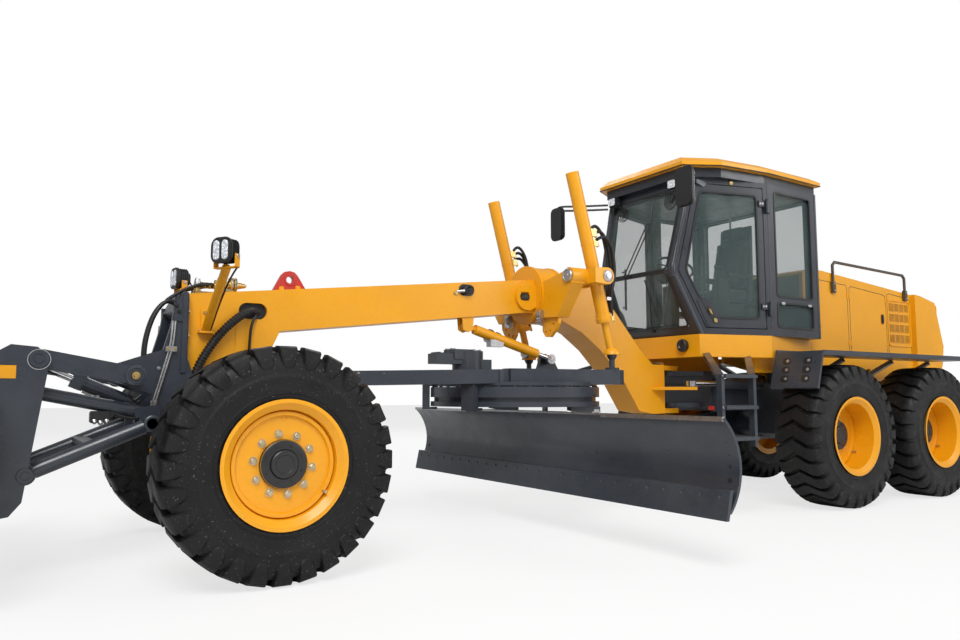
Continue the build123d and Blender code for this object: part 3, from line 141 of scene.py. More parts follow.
def makeFloor():
    bpy.ops.mesh.primitive_plane_add(size=lightSetup["floorSize"],
                                     location=(*lightSetup["floorSpot"], floorZ))
    floor = bpy.context.object
    floor.name = "floor"
    material = bpy.data.materials.new("paleFloor")
    tree = emptyTree(material)
    matt = tree.nodes.new("ShaderNodeBsdfDiffuse")
    matt.inputs["Color"].default_value = (lightSetup["floorTone"],) * 3 + (1,)
    glow = tree.nodes.new("ShaderNodeEmission")
    glow.inputs["Strength"].default_value = 1
    share = tree.nodes.new("ShaderNodeMath")
    share.operation = "MULTIPLY"
    share.inputs[1].default_value = lightSetup["floorGlow"]
    tree.links.new(seenDirectly(tree), share.inputs[0])
    mixedOutput(tree, "ShaderNodeOutputMaterial", share.outputs[0], matt, glow)
    floor.data.materials.append(material)


def makeLamps():
    for name, spot, size, power in lampTable:
        data = bpy.data.lights.new(name, "AREA")
        data.shape = "DISK"
        data.size = size
        data.energy = power
        lamp = addObject(name, data)
        lamp.location = spot
        lamp.rotation_euler = (lampAim - Vector(spot)).to_track_quat("-Z", "Y").to_euler()


makeCamera()
makeWorld()
makeFloor()
makeLamps()
scene.view_settings.view_transform = "Standard"
print("stage set")


# finishes
def newMaterial(name):
    material = bpy.data.materials.new(name)
    material.use_nodes = True
    tree = material.node_tree
    return material, tree, tree.nodes["Principled BSDF"]


def setInputs(node, values):
    for socket, value in values.items():
        node.inputs[socket].default_value = value


def texture(tree, kind, values, output):
    # a texture laid in the piece's own coordinates
    tex = tree.nodes.new(kind)
    setInputs(tex, values)
    tree.links.new(tree.nodes.new("ShaderNodeTexCoord").outputs["Object"], tex.inputs["Vector"])
    return tex.outputs[output]


def noise(tree, scale, detail=3):
    return texture(tree, "ShaderNodeTexNoise", {"Scale": scale, "Detail": detail}, "Fac")


def cells(tree, scale):
    return texture(tree, "ShaderNodeTexVoronoi", {"Scale": scale}, "Distance")


def spread(tree, value, low, high, toLow, toHigh):
    ramp = tree.nodes.new("ShaderNodeMapRange")
    setInputs(ramp, {"From Min": low, "From Max": high, "To Min": toLow, "To Max": toHigh})
    tree.links.new(value, ramp.inputs["Value"])
    return ramp.outputs["Result"]


def blendColour(tree, share, first, second):
    mix = tree.nodes.new("ShaderNodeMix")
    mix.data_type = "RGBA"
    tree.links.new(share, mix.inputs["Factor"])
    for socket, colour in ((6, first), (7, second)):
        if isinstance(colour, tuple):
            mix.inputs[socket].default_value = colour + (1,)
        else:
            tree.links.new(colour, mix.inputs[socket])
    return mix.outputs[2]


def bumpFrom(tree, value, strength, distance):
    bump = tree.nodes.new("ShaderNodeBump")
    setInputs(bump, {"Strength": strength, "Distance": distance})
    tree.links.new(value, bump.inputs["Height"])
    return bump.outputs["Normal"]


def paint(name, colour, dust, rough=0.34, coat=0.3):
    # enamel: broad clouds and fine grains of dust over the colour, an uneven gloss and orange peel
    material, tree, shader = newMaterial(name)
    cloud = spread(tree, noise(tree, 1.7, 5), 0.42, 0.72, 0, 0.35)
    tone = blendColour(tree, cloud, colour, dust)
    grain = spread(tree, noise(tree, 42, 3), 0.42, 0.7, 0, 0.14)
    tree.links.new(blendColour(tree, grain, tone, dust), shader.inputs["Base Color"])
    gloss = spread(tree, noise(tree, 9, 3), 0.3, 0.7, rough - 0.07, rough + 0.1)
    tree.links.new(gloss, shader.inputs["Roughness"])
    tree.links.new(bumpFrom(tree, noise(tree, 230, 2), 0.14, 0.0006), shader.inputs["Normal"])
    setInputs(shader, {"Coat Weight": coat, "Coat Roughness": 0.16})
    return material


def metal(name, colour, rough, scale=30):
    # bare metal: cloudy tarnish and an uneven polish
    material, tree, shader = newMaterial(name)
    shader.inputs["Metallic"].default_value = 1
    tarnish = spread(tree, noise(tree, scale, 4), 0.35, 0.7, 0, 0.5)
    worn = tuple(channel * 0.55 for channel in colour)
    tree.links.new(blendColour(tree, tarnish, colour, worn), shader.inputs["Base Color"])
    gloss = spread(tree, noise(tree, scale * 2, 3), 0.3, 0.7, rough - 0.04, rough + 0.14)
    tree.links.new(gloss, shader.inputs["Roughness"])
    return material


def makeRubber():
    material, tree, shader = newMaterial("tyreRubber")
    base, dusty, chalk = (0.0036, 0.0036, 0.0040), (0.014, 0.0135, 0.013), (0.16, 0.15, 0.14)
    haze = spread(tree, noise(tree, 5, 6), 0.4, 0.75, 0, 0.55)
    tone = blendColour(tree, haze, base, dusty)
    specks = spread(tree, noise(tree, 95, 2), 0.67, 0.71, 0, 0.55)
    tree.links.new(blendColour(tree, specks, tone, chalk), shader.inputs["Base Color"])
    tree.links.new(spread(tree, noise(tree, 12, 4), 0.3, 0.7, 0.42, 0.66), shader.inputs["Roughness"])
    tree.links.new(bumpFrom(tree, noise(tree, 130, 4), 0.25, 0.002), shader.inputs["Normal"])
    shader.inputs["Specular IOR Level"].default_value = 0.32
    return material


def makeGlass():
    material, tree, shader = newMaterial("tintedGlass")
    tint = spread(tree, noise(tree, 2.5, 3), 0.3, 0.7, 0, 1)
    green = blendColour(tree, tint, (0.10, 0.15, 0.145), (0.15, 0.21, 0.20))
    tree.links.new(green, shader.inputs["Base Color"])
    setInputs(shader, {"Roughness": 0.03, "Alpha": 0.24, "Coat Weight": 0.5, "Coat Roughness": 0.02})
    return material


def makeLamp(name, colour, strength):
    material, tree, shader = newMaterial(name)
    shade = tuple(channel * 0.45 for channel in colour)
    tone = blendColour(tree, spread(tree, cells(tree, 70), 0.1, 0.6, 0, 1), colour, shade)
    tree.links.new(tone, shader.inputs["Base Color"])
    tree.links.new(tone, shader.inputs["Emission Color"])
    setInputs(shader, {"Emission Strength": strength, "Roughness": 0.12})
    return material


def makeFabric():
    material, tree, shader = newMaterial("seatFabric")
    wear = spread(tree, noise(tree, 14, 4), 0.35, 0.7, 0, 1)
    cloth = blendColour(tree, wear, (0.016, 0.017, 0.019), (0.034, 0.035, 0.038))
    tree.links.new(cloth, shader.inputs["Base Color"])
    tree.links.new(bumpFrom(tree, cells(tree, 420), 0.5, 0.001), shader.inputs["Normal"])
    setInputs(shader, {"Roughness": 0.85, "Sheen Weight": 0.25})
    return material


finish = {
    "yellow": paint("goldenPaint", (0.82, 0.355, 0.0018), (0.63, 0.262, 0.007), 0.38, 0.12),
    "slate": paint("slatePaint", (0.024, 0.031, 0.043), (0.066, 0.072, 0.082), 0.34, 0.25),
    "cabGrey": paint("cabPaint", (0.020, 0.024, 0.033), (0.042, 0.046, 0.056), 0.34, 0.25),
    "red": paint("redPaint", (0.50, 0.030, 0.022), (0.33, 0.05, 0.04)),
    "black": paint("blackTrim", (0.009, 0.009, 0.010), (0.028, 0.028, 0.028), 0.42, 0.1),
    "hose": paint("blackHose", (0.007, 0.007, 0.008), (0.024, 0.024, 0.024), 0.5, 0.0),
    "edge": paint("bladeEdge", (0.026, 0.033, 0.045), (0.088, 0.094, 0.10), 0.4, 0.1),
    "bronze": paint("railPaint", (0.060, 0.042, 0.030), (0.11, 0.085, 0.06), 0.3, 0.3),
    "rubber": makeRubber(),
    "chrome": metal("polishedRod", (0.78, 0.78, 0.80), 0.12),
    "steel": metal("brightSteel", (0.56, 0.56, 0.57), 0.3),
    "brass": metal("brassBolt", (0.72, 0.52, 0.22), 0.28),
    "brassNut": metal("wheelNut", (0.66, 0.56, 0.38), 0.3),
    "glass": makeGlass(),
    "lens": makeLamp("lampLens", (0.82, 0.85, 0.90), 0.35),
    "amber": makeLamp("beaconLens", (0.95, 0.24, 0.01), 0.25),
    "fabric": makeFabric(),
}

# Finish of each CAD node that stays in sight.
nodeFinish = {
    "yellow": ["belt_skirt", "cab_roof", "centre_shift_barrel", "front_frame", "hood", "lean_bar",
               "lift_barrel_left", "lift_barrel_right", "lift_rod_left", "lift_rod_right", "saddle"],
    "slate": ["circle", "dozer_blade", "drawbar", "engine_block", "fenders", "front_arms", "front_axle",
              "front_bracket", "front_link", "front_ram_barrel", "knuckle_left", "knuckle_right", "ladders",
              "lean_fork_left", "lean_fork_right", "moldboard", "rear_frame", "tandem_cases", "tilt_frame"],
    "cabGrey": ["cab_shell", "door_left", "door_right"],
    "black": ["cab_fittings", "cab_interior", "work_lamps"],
    "bronze": ["handrails"],
    "edge": ["cutting_edge"],
    "chrome": ["articulation_rod_left", "articulation_rod_right", "centre_shift_rod", "front_ram_rod",
               "side_shift_rod"],
    "glass": ["cab_glass", "door_glass_left", "door_glass_right"],
    "red": ["lifting_lug"],
}


def dressNodes():
    looks = {name: look for look, names in nodeFinish.items() for name in names}
    for name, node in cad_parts.items():
        if name.startswith("tyre"):
            look = "rubber"
        elif name.startswith("rim"):
            look = "yellow"
        else:
            look = looks[name]
        node.data.materials.clear()
        node.data.materials.append(finish[look])


dressNodes()
print("finishes on the frame")


# mesh helpers: all of them take stations
upwards, forwards, backwards = (0, 0, 1), (1, 0, 0), (-1, 0, 0)


def bridge(bm, one, two):
    # quads between two rings of as many vertices
    for i in range(len(one)):
        j = (i + 1) % len(one)
        bm.faces.new((one[i], one[j], two[j], two[i]))


def loft(bm, rings):
    # closed solid through the rings
    bm.faces.new(rings[0])
    bm.faces.new(rings[-1][::-1])
    for one, two in zip(rings, rings[1:]):
        bridge(bm, one, two)


def prism(bm, outline, low, high, axis):
    # closed prism of an outline, drawn on the plane across the named axis
    order = {"x": (2, 0, 1), "y": (0, 2, 1), "z": (0, 1, 2)}[axis]
    loft(bm, [[bm.verts.new(at(*((a, b, level)[k] for k in order))) for a, b in outline]
              for level in (low, high)])


def box(bm, low, high):
    corners = [(low[0], low[1]), (high[0], low[1]), (high[0], high[1]), (low[0], high[1])]
    prism(bm, corners, low[2], high[2], "z")


def sidePrism(bm, hand, outline, outs):
    # prism of a side outline on one side of the machine, between two distances from its middle plane
    prism(bm, outline, *sorted(hand * out for out in outs), "y")


def sideBox(bm, hand, xs, outs, zs):
    low, high = sorted(hand * out for out in outs)
    box(bm, (xs[0], low, zs[0]), (xs[1], high, zs[1]))


def onCircle(radius, count, shift=0, middle=(0, 0)):
    # points of a circle, moved on by a share of their pitch
    angles = [2 * math.pi * (i + shift) / count for i in range(count)]
    return [(middle[0] + radius * math.cos(a), middle[1] + radius * math.sin(a)) for a in angles]


def roundRect(middle, wide, tall, corner, steps=4):
    outline = []
    for turn, (sx, sz) in enumerate(((1, 1), (-1, 1), (-1, -1), (1, -1))):
        cx, cz = middle[0] + sx * (wide / 2 - corner), middle[1] + sz * (tall / 2 - corner)
        for step in range(steps + 1):
            angle = math.radians(90 * (turn + step / steps))
            outline.append((cx + corner * math.cos(angle), cz + corner * math.sin(angle)))
    return outline


def rounded(outline, radius, steps=4):
    # the same outline with rounded corners
    out = []
    count = len(outline)
    for i in range(count):
        here = Vector(outline[i])
        back, ahead = ((Vector(outline[k % count]) - here).normalized() for k in (i - 1, i + 1))
        for step in range(steps + 1):
            t = step / steps
            spot = (here + back * radius) * (1 - t) ** 2 + here * 2 * t * (1 - t)
            spot += (here + ahead * radius) * t * t
            out.append((spot.x, spot.y))
    return out


def band(inner, outer, wide):
    # turned profile of a ring
    return [(0, inner), (0, outer), (wide, outer), (wide, inner), (0, inner)]


def disc(radius, thick):
    return [(0, 0), (0, radius), (thick, radius), (thick, 0)]


def lathe(bm, spot, direction, profile, sides=24):
    # profile: distance along the direction, radius
    way = Vector(direction).normalized()
    first = way.orthogonal().normalized()
    second = way.cross(first)
    rings = []
    for along, radius in profile:
        centre = at(*spot) + way * along / 1000
        if radius == 0:
            rings.append([bm.verts.new(centre)])
            continue
        rings.append([bm.verts.new(centre + (first * a + second * b) * radius / 1000)
                      for a, b in onCircle(1, sides)])
    for one, two in zip(rings, rings[1:]):
        if len(one) == len(two):
            bridge(bm, one, two)
            continue
        for i in range(sides):
            j = (i + 1) % sides
            bm.faces.new((one[0], two[j], two[i]) if len(one) == 1 else (one[i], one[j], two[0]))


def rod(bm, start, end, radius, sides=20):
    run = Vector(end) - Vector(start)
    edge = min(radius * 0.15, 3)
    lathe(bm, start, run, [(0, 0), (0, radius - edge), (edge, radius), (run.length - edge, radius),
                           (run.length, radius - edge), (run.length, 0)], sides)


# Bolt, as shares of its size: profiles of the washer and of the hexagon head.
washerShape = [(0, 0), (0, 0.95), (0.16, 0.95), (0.16, 0)]
hexShape = [(0, 0), (0.15, 0.72), (0.62, 0.72), (0.74, 0.58), (0.74, 0)]


def bolt(bm, spot, direction, size):
    for shape, sides in ((washerShape, 16), (hexShape, 6)):
        lathe(bm, spot, direction, [(size * along, size * radius) for along, radius in shape], sides)


def settle(obj, body):
    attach(obj, body)
    return obj


def smoothEdges(bm, limit):
    bm.normal_update()
    for face in bm.faces:
        face.smooth = True
    for edge in bm.edges:
        edge.smooth = len(edge.link_faces) == 2 and edge.calc_face_angle(0) < math.radians(limit)


def bevelSharp(bm, limit, size):
    sharp = [e for e in bm.edges if len(e.link_faces) == 2 and e.calc_face_angle(0) > math.radians(limit)]
    bmesh.ops.bevel(bm, geom=sharp, offset=size / 1000, segments=2, affect="EDGES", clamp_overlap=True)


def meshObject(name, bm, limit=None):
    # the finished mesh as an object, its edges smooth below the limit in degrees
    if limit is not None:
        smoothEdges(bm, limit)
    data = bpy.data.meshes.new(name)
    bm.to_mesh(data)
    bm.free()
    return addObject(name, data)


def piece(name, bm, look, body, bevel=0.0, limit=35):
    bmesh.ops.recalc_face_normals(bm, faces=bm.faces)
    if bevel:
        bevelSharp(bm, limit, bevel)
    obj = meshObject(name, bm, limit)
    obj.data.materials.append(finish[look])
    return settle(obj, body)


def bentCurve(name, routes, steps):
    # smooth splines, each steered by its own list of stations
    curve = bpy.data.curves.new(name, "CURVE")
    curve.dimensions = "3D"
    curve.resolution_u = steps
    for route in routes:
        line = curve.splines.new("NURBS")
        line.points.add(len(route) - 1)
        for point, spot in zip(line.points, route):
            point.co = (*at(*spot), 1)
        line.order_u = 3
        line.use_endpoint_u = True
    return curve


def pipe(name, routes, radius, look, body):
    # bent round bars or clamped hoses
    curve = bentCurve(name, routes, 8)
    curve.bevel_depth = radius / 1000
    curve.bevel_resolution = 3
    curve.use_fill_caps = True
    curve.materials.append(finish[look])
    return settle(addObject(name, curve), body)


# Geometry Nodes trees for what repeats
def startTree(name, inputs):
    group = bpy.data.node_groups.new(name, "GeometryNodeTree")
    group.interface.new_socket("Geometry", in_out="INPUT", socket_type="NodeSocketGeometry")
    sockets = {label: group.interface.new_socket(label, in_out="INPUT", socket_type=kind).identifier
               for label, kind in inputs}
    group.interface.new_socket("Geometry", in_out="OUTPUT", socket_type="NodeSocketGeometry")
    return group, sockets, group.nodes.new("NodeGroupInput"), group.nodes.new("NodeGroupOutput")


def closeTree(group, copies, entry, leave):
    real = group.nodes.new("GeometryNodeRealizeInstances")
    coat = group.nodes.new("GeometryNodeSetMaterial")
    group.links.new(copies, real.inputs["Geometry"])
    group.links.new(real.outputs["Geometry"], coat.inputs["Geometry"])
    group.links.new(entry.outputs["Finish"], coat.inputs["Material"])
    group.links.new(coat.outputs["Geometry"], leave.inputs["Geometry"])


def mathNode(group, operation, first, second):
    node = group.nodes.new("ShaderNodeMath")
    node.operation = operation
    group.links.new(first, node.inputs[0])
    if isinstance(second, float):
        node.inputs[1].default_value = second
    else:
        group.links.new(second, node.inputs[1])
    return node.outputs[0]


def makeSpotTree():
    # a copy of the master at each vertex, its Z turned to the vertex's facing
    group, sockets, entry, leave = startTree("copiesAtSpots", [
        ("Master", "NodeSocketObject"), ("Size", "NodeSocketFloat"), ("Finish", "NodeSocketMaterial")])
    info = group.nodes.new("GeometryNodeObjectInfo")
    facing = group.nodes.new("GeometryNodeInputNamedAttribute")
    facing.data_type = "FLOAT_VECTOR"
    facing.inputs["Name"].default_value = "facing"
    turn = group.nodes.new("FunctionNodeAlignRotationToVector")
    turn.axis = "Z"
    copies = group.nodes.new("GeometryNodeInstanceOnPoints")
    group.links.new(entry.outputs["Master"], info.inputs["Object"])
    group.links.new(entry.outputs["Geometry"], copies.inputs["Points"])
    group.links.new(info.outputs["Geometry"], copies.inputs["Instance"])
    group.links.new(facing.outputs["Attribute"], turn.inputs["Vector"])
    group.links.new(turn.outputs["Rotation"], copies.inputs["Rotation"])
    group.links.new(entry.outputs["Size"], copies.inputs["Scale"])
    closeTree(group, copies.outputs["Instances"], entry, leave)
    return group, sockets


def makeRingTree():
    # copies of the master turned about a wheel's axle, on top of the carcass that carries them
    group, sockets, entry, leave = startTree("copiesRoundAxle", [
        ("Master", "NodeSocketObject"), ("Count", "NodeSocketInt"), ("Finish", "NodeSocketMaterial")])
    info = group.nodes.new("GeometryNodeObjectInfo")
    points = group.nodes.new("GeometryNodePoints")
    index = group.nodes.new("GeometryNodeInputIndex")
    part = mathNode(group, "DIVIDE", index.outputs["Index"], entry.outputs["Count"])
    turn = group.nodes.new("ShaderNodeCombineXYZ")
    copies = group.nodes.new("GeometryNodeInstanceOnPoints")
    both = group.nodes.new("GeometryNodeJoinGeometry")
    group.links.new(entry.outputs["Master"], info.inputs["Object"])
    group.links.new(entry.outputs["Count"], points.inputs["Count"])
    group.links.new(mathNode(group, "MULTIPLY", part, 2 * math.pi), turn.inputs["Y"])
    group.links.new(points.outputs["Points"], copies.inputs["Points"])
    group.links.new(info.outputs["Geometry"], copies.inputs["Instance"])
    group.links.new(turn.outputs["Vector"], copies.inputs["Rotation"])
    group.links.new(copies.outputs["Instances"], both.inputs["Geometry"])
    group.links.new(entry.outputs["Geometry"], both.inputs["Geometry"])
    closeTree(group, both.outputs["Geometry"], entry, leave)
    return group, sockets


spotTree = makeSpotTree()
ringTree = makeRingTree()


def grow(obj, tree, values, offset=None):
    # runs the tree on the object and keeps its result as a plain mesh
    group, sockets = tree
    modifier = obj.modifiers.new("repeat", "NODES")
    modifier.node_group = group
    for label, value in values.items():
        modifier[sockets[label]] = value
    graph = bpy.context.evaluated_depsgraph_get()
    data = bpy.data.meshes.new_from_object(obj.evaluated_get(graph))
    obj.modifiers.remove(modifier)
    if offset is not None:
        for vertex in data.vertices:
            vertex.co += offset
    obj.data = data


def hiddenMaster(name, bm, limit=35):
    bmesh.ops.recalc_face_normals(bm, faces=bm.faces)
    return meshObject(name, bm, limit)


def boltsAt(name, spots, size, look, body):
    # spots: (station, facing); the master bolt stands on the row's origin, facing up
    bm = bmesh.new()
    bolt(bm, (hitchStation["x"], 0, hitchStation["z"]), upwards, size)
    master = hiddenMaster(name + "Master", bm)
    data = bpy.data.meshes.new(name)
    data.from_pydata([at(*spot) for spot, facing in spots], [], [])
    ways = data.attributes.new("facing", "FLOAT_VECTOR", "POINT")
    for entry, (spot, facing) in zip(ways.data, spots):
        entry.vector = Vector(facing).normalized()
    obj = addObject(name, data)
    grow(obj, spotTree, {"Master": master, "Size": 1.0, "Finish": finish[look]})
    bpy.data.objects.remove(master)
    return settle(obj, body)


# Tyres: chevron lugs round a carcass
tyreSetup = {"lugs": 28, "vee": -0.45, "veeReach": 130, "flare": 0.04, "bevel": 5}
# Lug along the section: lateral distance and radius of its outer and of its inner edge, half width share.
lugStations = [
    (0, 672, 0, 628, 0.37), (60, 672, 60, 628, 0.37), (130, 671, 130, 628, 0.37),
    (182, 667, 165, 622, 0.365), (206, 652, 185, 605, 0.35), (221, 608, 206, 580, 0.32),
    (222, 562, 213, 552, 0.24), (219, 540, 214, 536, 0.15),
]
# Half section of the carcass: lateral distance, radius.
carcassLine = [
    (150, 322), (184, 322), (205, 362), (210, 376), (213, 392), (217, 395), (217, 402), (214, 405),
    (218, 440), (219, 478), (221, 482), (221.5, 496), (219, 500), (218, 520), (214, 560), (202, 600),
    (185, 625), (150, 636), (60, 639),
]
wheelNames = ["front_left", "front_right", "rear_front_left", "rear_front_right", "rear_back_left",
              "rear_back_right"]


def wheelCentre(name):
    low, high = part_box("rim_" + name)
    return (Vector(low) + Vector(high)) / 2


def roundAxle(radius, lateral, angle):
    # row point beside a wheel's centre, its angle taken from straight up
    return (radius * math.sin(angle) / 1000, lateral / 1000, radius * math.cos(angle) / 1000)


def lugMaster(bm):
    pitch, flare = 2 * math.pi / tyreSetup["lugs"], tyreSetup["flare"]
    rings = []
    stations = [(-a, b, -c, d, e) for a, b, c, d, e in lugStations[:0:-1]] + lugStations
    for out, top, inn, low, share in stations:
        lean = tyreSetup["vee"] * max(0, 1 - abs(out) / tyreSetup["veeReach"])
        corners = ((out, top, lean - share), (out, top, lean + share),
                   (inn, low, lean + share + flare), (inn, low, lean - share - flare))
        rings.append([bm.verts.new(roundAxle(radius, lateral, turn * pitch))
                      for lateral, radius, turn in corners])
    loft(bm, rings)
    bmesh.ops.recalc_face_normals(bm, faces=bm.faces)
    bevelSharp(bm, 30, tyreSetup["bevel"])


def makeTyre(name, master):
    bm = bmesh.new()
    section = carcassLine + [(-lateral, radius) for lateral, radius in carcassLine[::-1]]
    sides = tyreSetup["lugs"] * 4
    rings = [[bm.verts.new(roundAxle(radius, lateral, 2 * math.pi * i / sides)) for i in range(sides)]
             for lateral, radius in section]
    for one, two in zip(rings, rings[1:] + rings[:1]):
        bridge(bm, one, two)
    obj = hiddenMaster("tread_" + name, bm, 40)
    grow(obj, ringTree, {"Master": master, "Count": tyreSetup["lugs"], "Finish": finish["rubber"]},
         wheelCentre(name))
    settle(obj, "wheel_" + name)
    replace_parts(obj, "tyre_" + name)


treadLug = bmesh.new()
lugMaster(treadLug)
treadMaster = hiddenMaster("lugMaster", treadLug)
for wheelName in wheelNames:
    makeTyre(wheelName, treadMaster)
bpy.data.objects.remove(treadMaster)
print("tyres built")

# Rim fittings: a ring of nuts, the hub's cap and the valve; distances outboard of the middle plane.
rimSetup = {"nuts": 10, "nutRing": 172, "nutSize": 25, "capRadius": 134, "collarRadius": 80,
            "screwRing": 108, "valveRing": 282, "valveAngle": 215, "plugRing": 262}
discFace = {"front": 148, "rear": -20}
hubFace = {"front": 172, "rear": 30}


def aroundWheel(name, ring, degrees, outboard):
    # station on a wheel: ring radius, angle from the front upwards, distance outboard of its middle plane
    centre = wheelCentre(name)
    hand = 1 if centre.y > 0 else -1
    x, z = centre.x * 1000 + hitchStation["x"], centre.z * 1000 + hitchStation["z"]
    angle = math.radians(degrees)
    return (x + ring * math.cos(angle), centre.y * 1000 + hand * outboard, z + ring * math.sin(angle))


def fitRim(name):
    hand = 1 if wheelCentre(name).y > 0 else -1
    kind = name.split("_")[0]
    web, hub = discFace[kind], hubFace[kind]
    outwards = (0, hand, 0)
    body = "wheel_" + name
    step = 360 / rimSetup["nuts"]
    spots = [(aroundWheel(name, rimSetup["nutRing"], i * step + 8, web), outwards)
             for i in range(rimSetup["nuts"])]
    boltsAt("wheel_nuts_" + name, spots, rimSetup["nutSize"], "brassNut", body)
    bm = bmesh.new()
    cap, collar = rimSetup["capRadius"], rimSetup["collarRadius"]
    lathe(bm, aroundWheel(name, 0, 0, hub - 30), outwards,
          [(0, cap + 4), (24, cap + 4), (30, cap), (33, cap - 6), (33, collar + 4), (30, collar),
           (42, collar - 2), (46, collar - 8), (46, collar - 26), (42, collar - 30), (42, 0)], 56)
    piece("hub_cap_" + name, bm, "black", body, limit=30)
    screws = [(aroundWheel(name, rimSetup["screwRing"], i * 45 + 20, hub + 3), outwards) for i in range(8)]
    boltsAt("hub_screws_" + name, screws, 8, "black", body)
    bm = bmesh.new()
    foot = aroundWheel(name, rimSetup["valveRing"], rimSetup["valveAngle"], web)
    lathe(bm, foot, outwards, [(0, 0), (0, 13), (8, 13), (10, 6), (50, 6), (51, 8), (64, 8), (66, 0)], 14)
    piece("valve_" + name, bm, "steel", body)
    if kind == "front":
        bm = bmesh.new()
        plug = aroundWheel(name, rimSetup["plugRing"], 90, web)
        lathe(bm, plug, outwards, [(0, 0), (0, 18), (3, 20), (4, 16), (1, 14), (1, 0)], 24)
        piece("rim_plug_" + name, bm, "yellow", body)


for wheelName in wheelNames:
    fitRim(wheelName)
print("rims fitted")


# Beam's head: lamps on slanted arms, hose passage, swivel manifold, joint bolts
headSetup = {"face": 6550, "slotX": 6106, "slotZ": 1622, "slotLong": 198, "slotTall": 111}
lampSetup = {"x": 6435, "y": 692, "z": 1930, "half": 82, "armRadius": 28, "wireRadius": 6,
             "foot": (6431, 168, 1466), "elbow": (6424, 664, 1838), "turn": {1: 34, -1: 8}}


def turnNew(bm, known, centre, degrees):
    # turn what was added after the first known vertices about an upright line
    swing = Matrix.Rotation(math.radians(degrees), 3, "Z")
    for vert in list(bm.verts)[known:]:
        vert.co = centre + swing @ (vert.co - centre)


def workLamps():
    x, z, half = lampSetup["x"], lampSetup["z"], lampSetup["half"]
    heads, lenses, knobs, arms = bmesh.new(), bmesh.new(), bmesh.new(), bmesh.new()
    for hand in bothSides:
        y = hand * lampSetup["y"]
        known = [len(bm.verts) for bm in (heads, lenses, knobs, arms)]
        for low, high, wide, corner in ((-62, -40, 96, 34), (-40, 30, 140, 44), (30, 52, 2 * half, 54)):
            prism(heads, roundRect((y, z), wide, wide, corner, 6), x + low, x + high, "x")
        for i in range(4):
            prism(heads, roundRect((y, z), 152, 152, 46, 5), x - 32 + i * 15, x - 26 + i * 15, "x")
        for side in bothSides:
            prism(lenses, roundRect((y + side * 34, z), 46, 122, 22, 6), x + 50, x + 60, "x")
            rod(knobs, (x - 4, y + side * 76, z - 34), (x - 4, y + side * 94, z - 34), 13)
            box(arms, (x - 24, y + side * 84 - 4, z - 108), (x + 18, y + side * 84 + 4, z - 20))
        box(arms, (x - 24, y - 88, z - 108), (x + 18, y + 88, z - 99))
        for bm, count in zip((heads, lenses, knobs, arms), known):
            turnNew(bm, count, at(x, y, z), lampSetup["turn"][hand])
        foot, elbow = lampSetup["foot"], lampSetup["elbow"]
        rod(arms, *((spot[0], hand * spot[1], spot[2]) for spot in (foot, elbow)), lampSetup["armRadius"])
        sideBox(arms, hand, (6378, 6478), (150, 214), (1450, 1464))
        sideBox(arms, hand, (6404, 6458), (150, 158), (1464, 1610))
    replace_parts(piece("lamp_heads", heads, "black", "front_unit", bevel=5), "work_lamps")
    piece("lamp_lenses", lenses, "lens", "front_unit", bevel=3)
    piece("lamp_knobs", knobs, "steel", "front_unit")
    piece("lamp_arms", arms, "yellow", "front_unit", bevel=2)
    spots = [((6392 + dx, hand * 182, 1464), upwards) for hand in bothSides for dx in (0, 72)]
    spots += [((6431, hand * 158, 1590), (0, hand, 0)) for hand in bothSides]
    boltsAt("lamp_foot_bolts", spots, 15, "brass", "front_unit")
    pipe("lamp_wires", [[(x - 60, hand * 692, z - 10), (x - 96, hand * 680, z - 60),
                         (x - 60, hand * 600, z - 130), (x - 42, hand * 420, 1660),
                         (x - 40, hand * 230, 1520), (x - 44, hand * 156, 1480)] for hand in bothSides],
         lampSetup["wireRadius"], "hose", "front_unit")


def meshOf(obj):
    # the object's evaluated mesh
    return bpy.data.meshes.new_from_object(obj.evaluated_get(bpy.context.evaluated_depsgraph_get()))


def smoothPath(route):
    # the points that a smooth spline through a route's control stations gives
    path = addObject("route", bentCurve("route", [route], 12))
    wire = meshOf(path)
    spots = [v.co.copy() for v in wire.vertices]
    bpy.data.objects.remove(path)
    bpy.data.meshes.remove(wire)
    return spots


def ribbedSkin(bm, route, radius, pitch, sides=14):
    # one closed skin of ribs along a smooth path
    spots = smoothPath(route)
    steps = [0]
    for one, two in zip(spots, spots[1:]):
        steps.append(steps[-1] + (two - one).length)
    count = int(steps[-1] * 1000 / pitch) * 4
    rings = []
    k = 0
    for i in range(count + 1):
        want = steps[-1] * i / count
        while k < len(steps) - 2 and steps[k + 1] < want:
            k += 1
        spot = spots[k].lerp(spots[k + 1], (want - steps[k]) / max(steps[k + 1] - steps[k], 1e-9))
        way = (spots[k + 1] - spots[k]).normalized()
        first = way.cross(Vector((0.3, 0.9, 0.1))).normalized()
        second = way.cross(first)
        size = (radius if i % 4 in (1, 2) else radius * 0.84) / 1000
        rings.append([bm.verts.new(spot + (first * a + second * b) * size) for a, b in onCircle(1, sides)])
    loft(bm, rings)


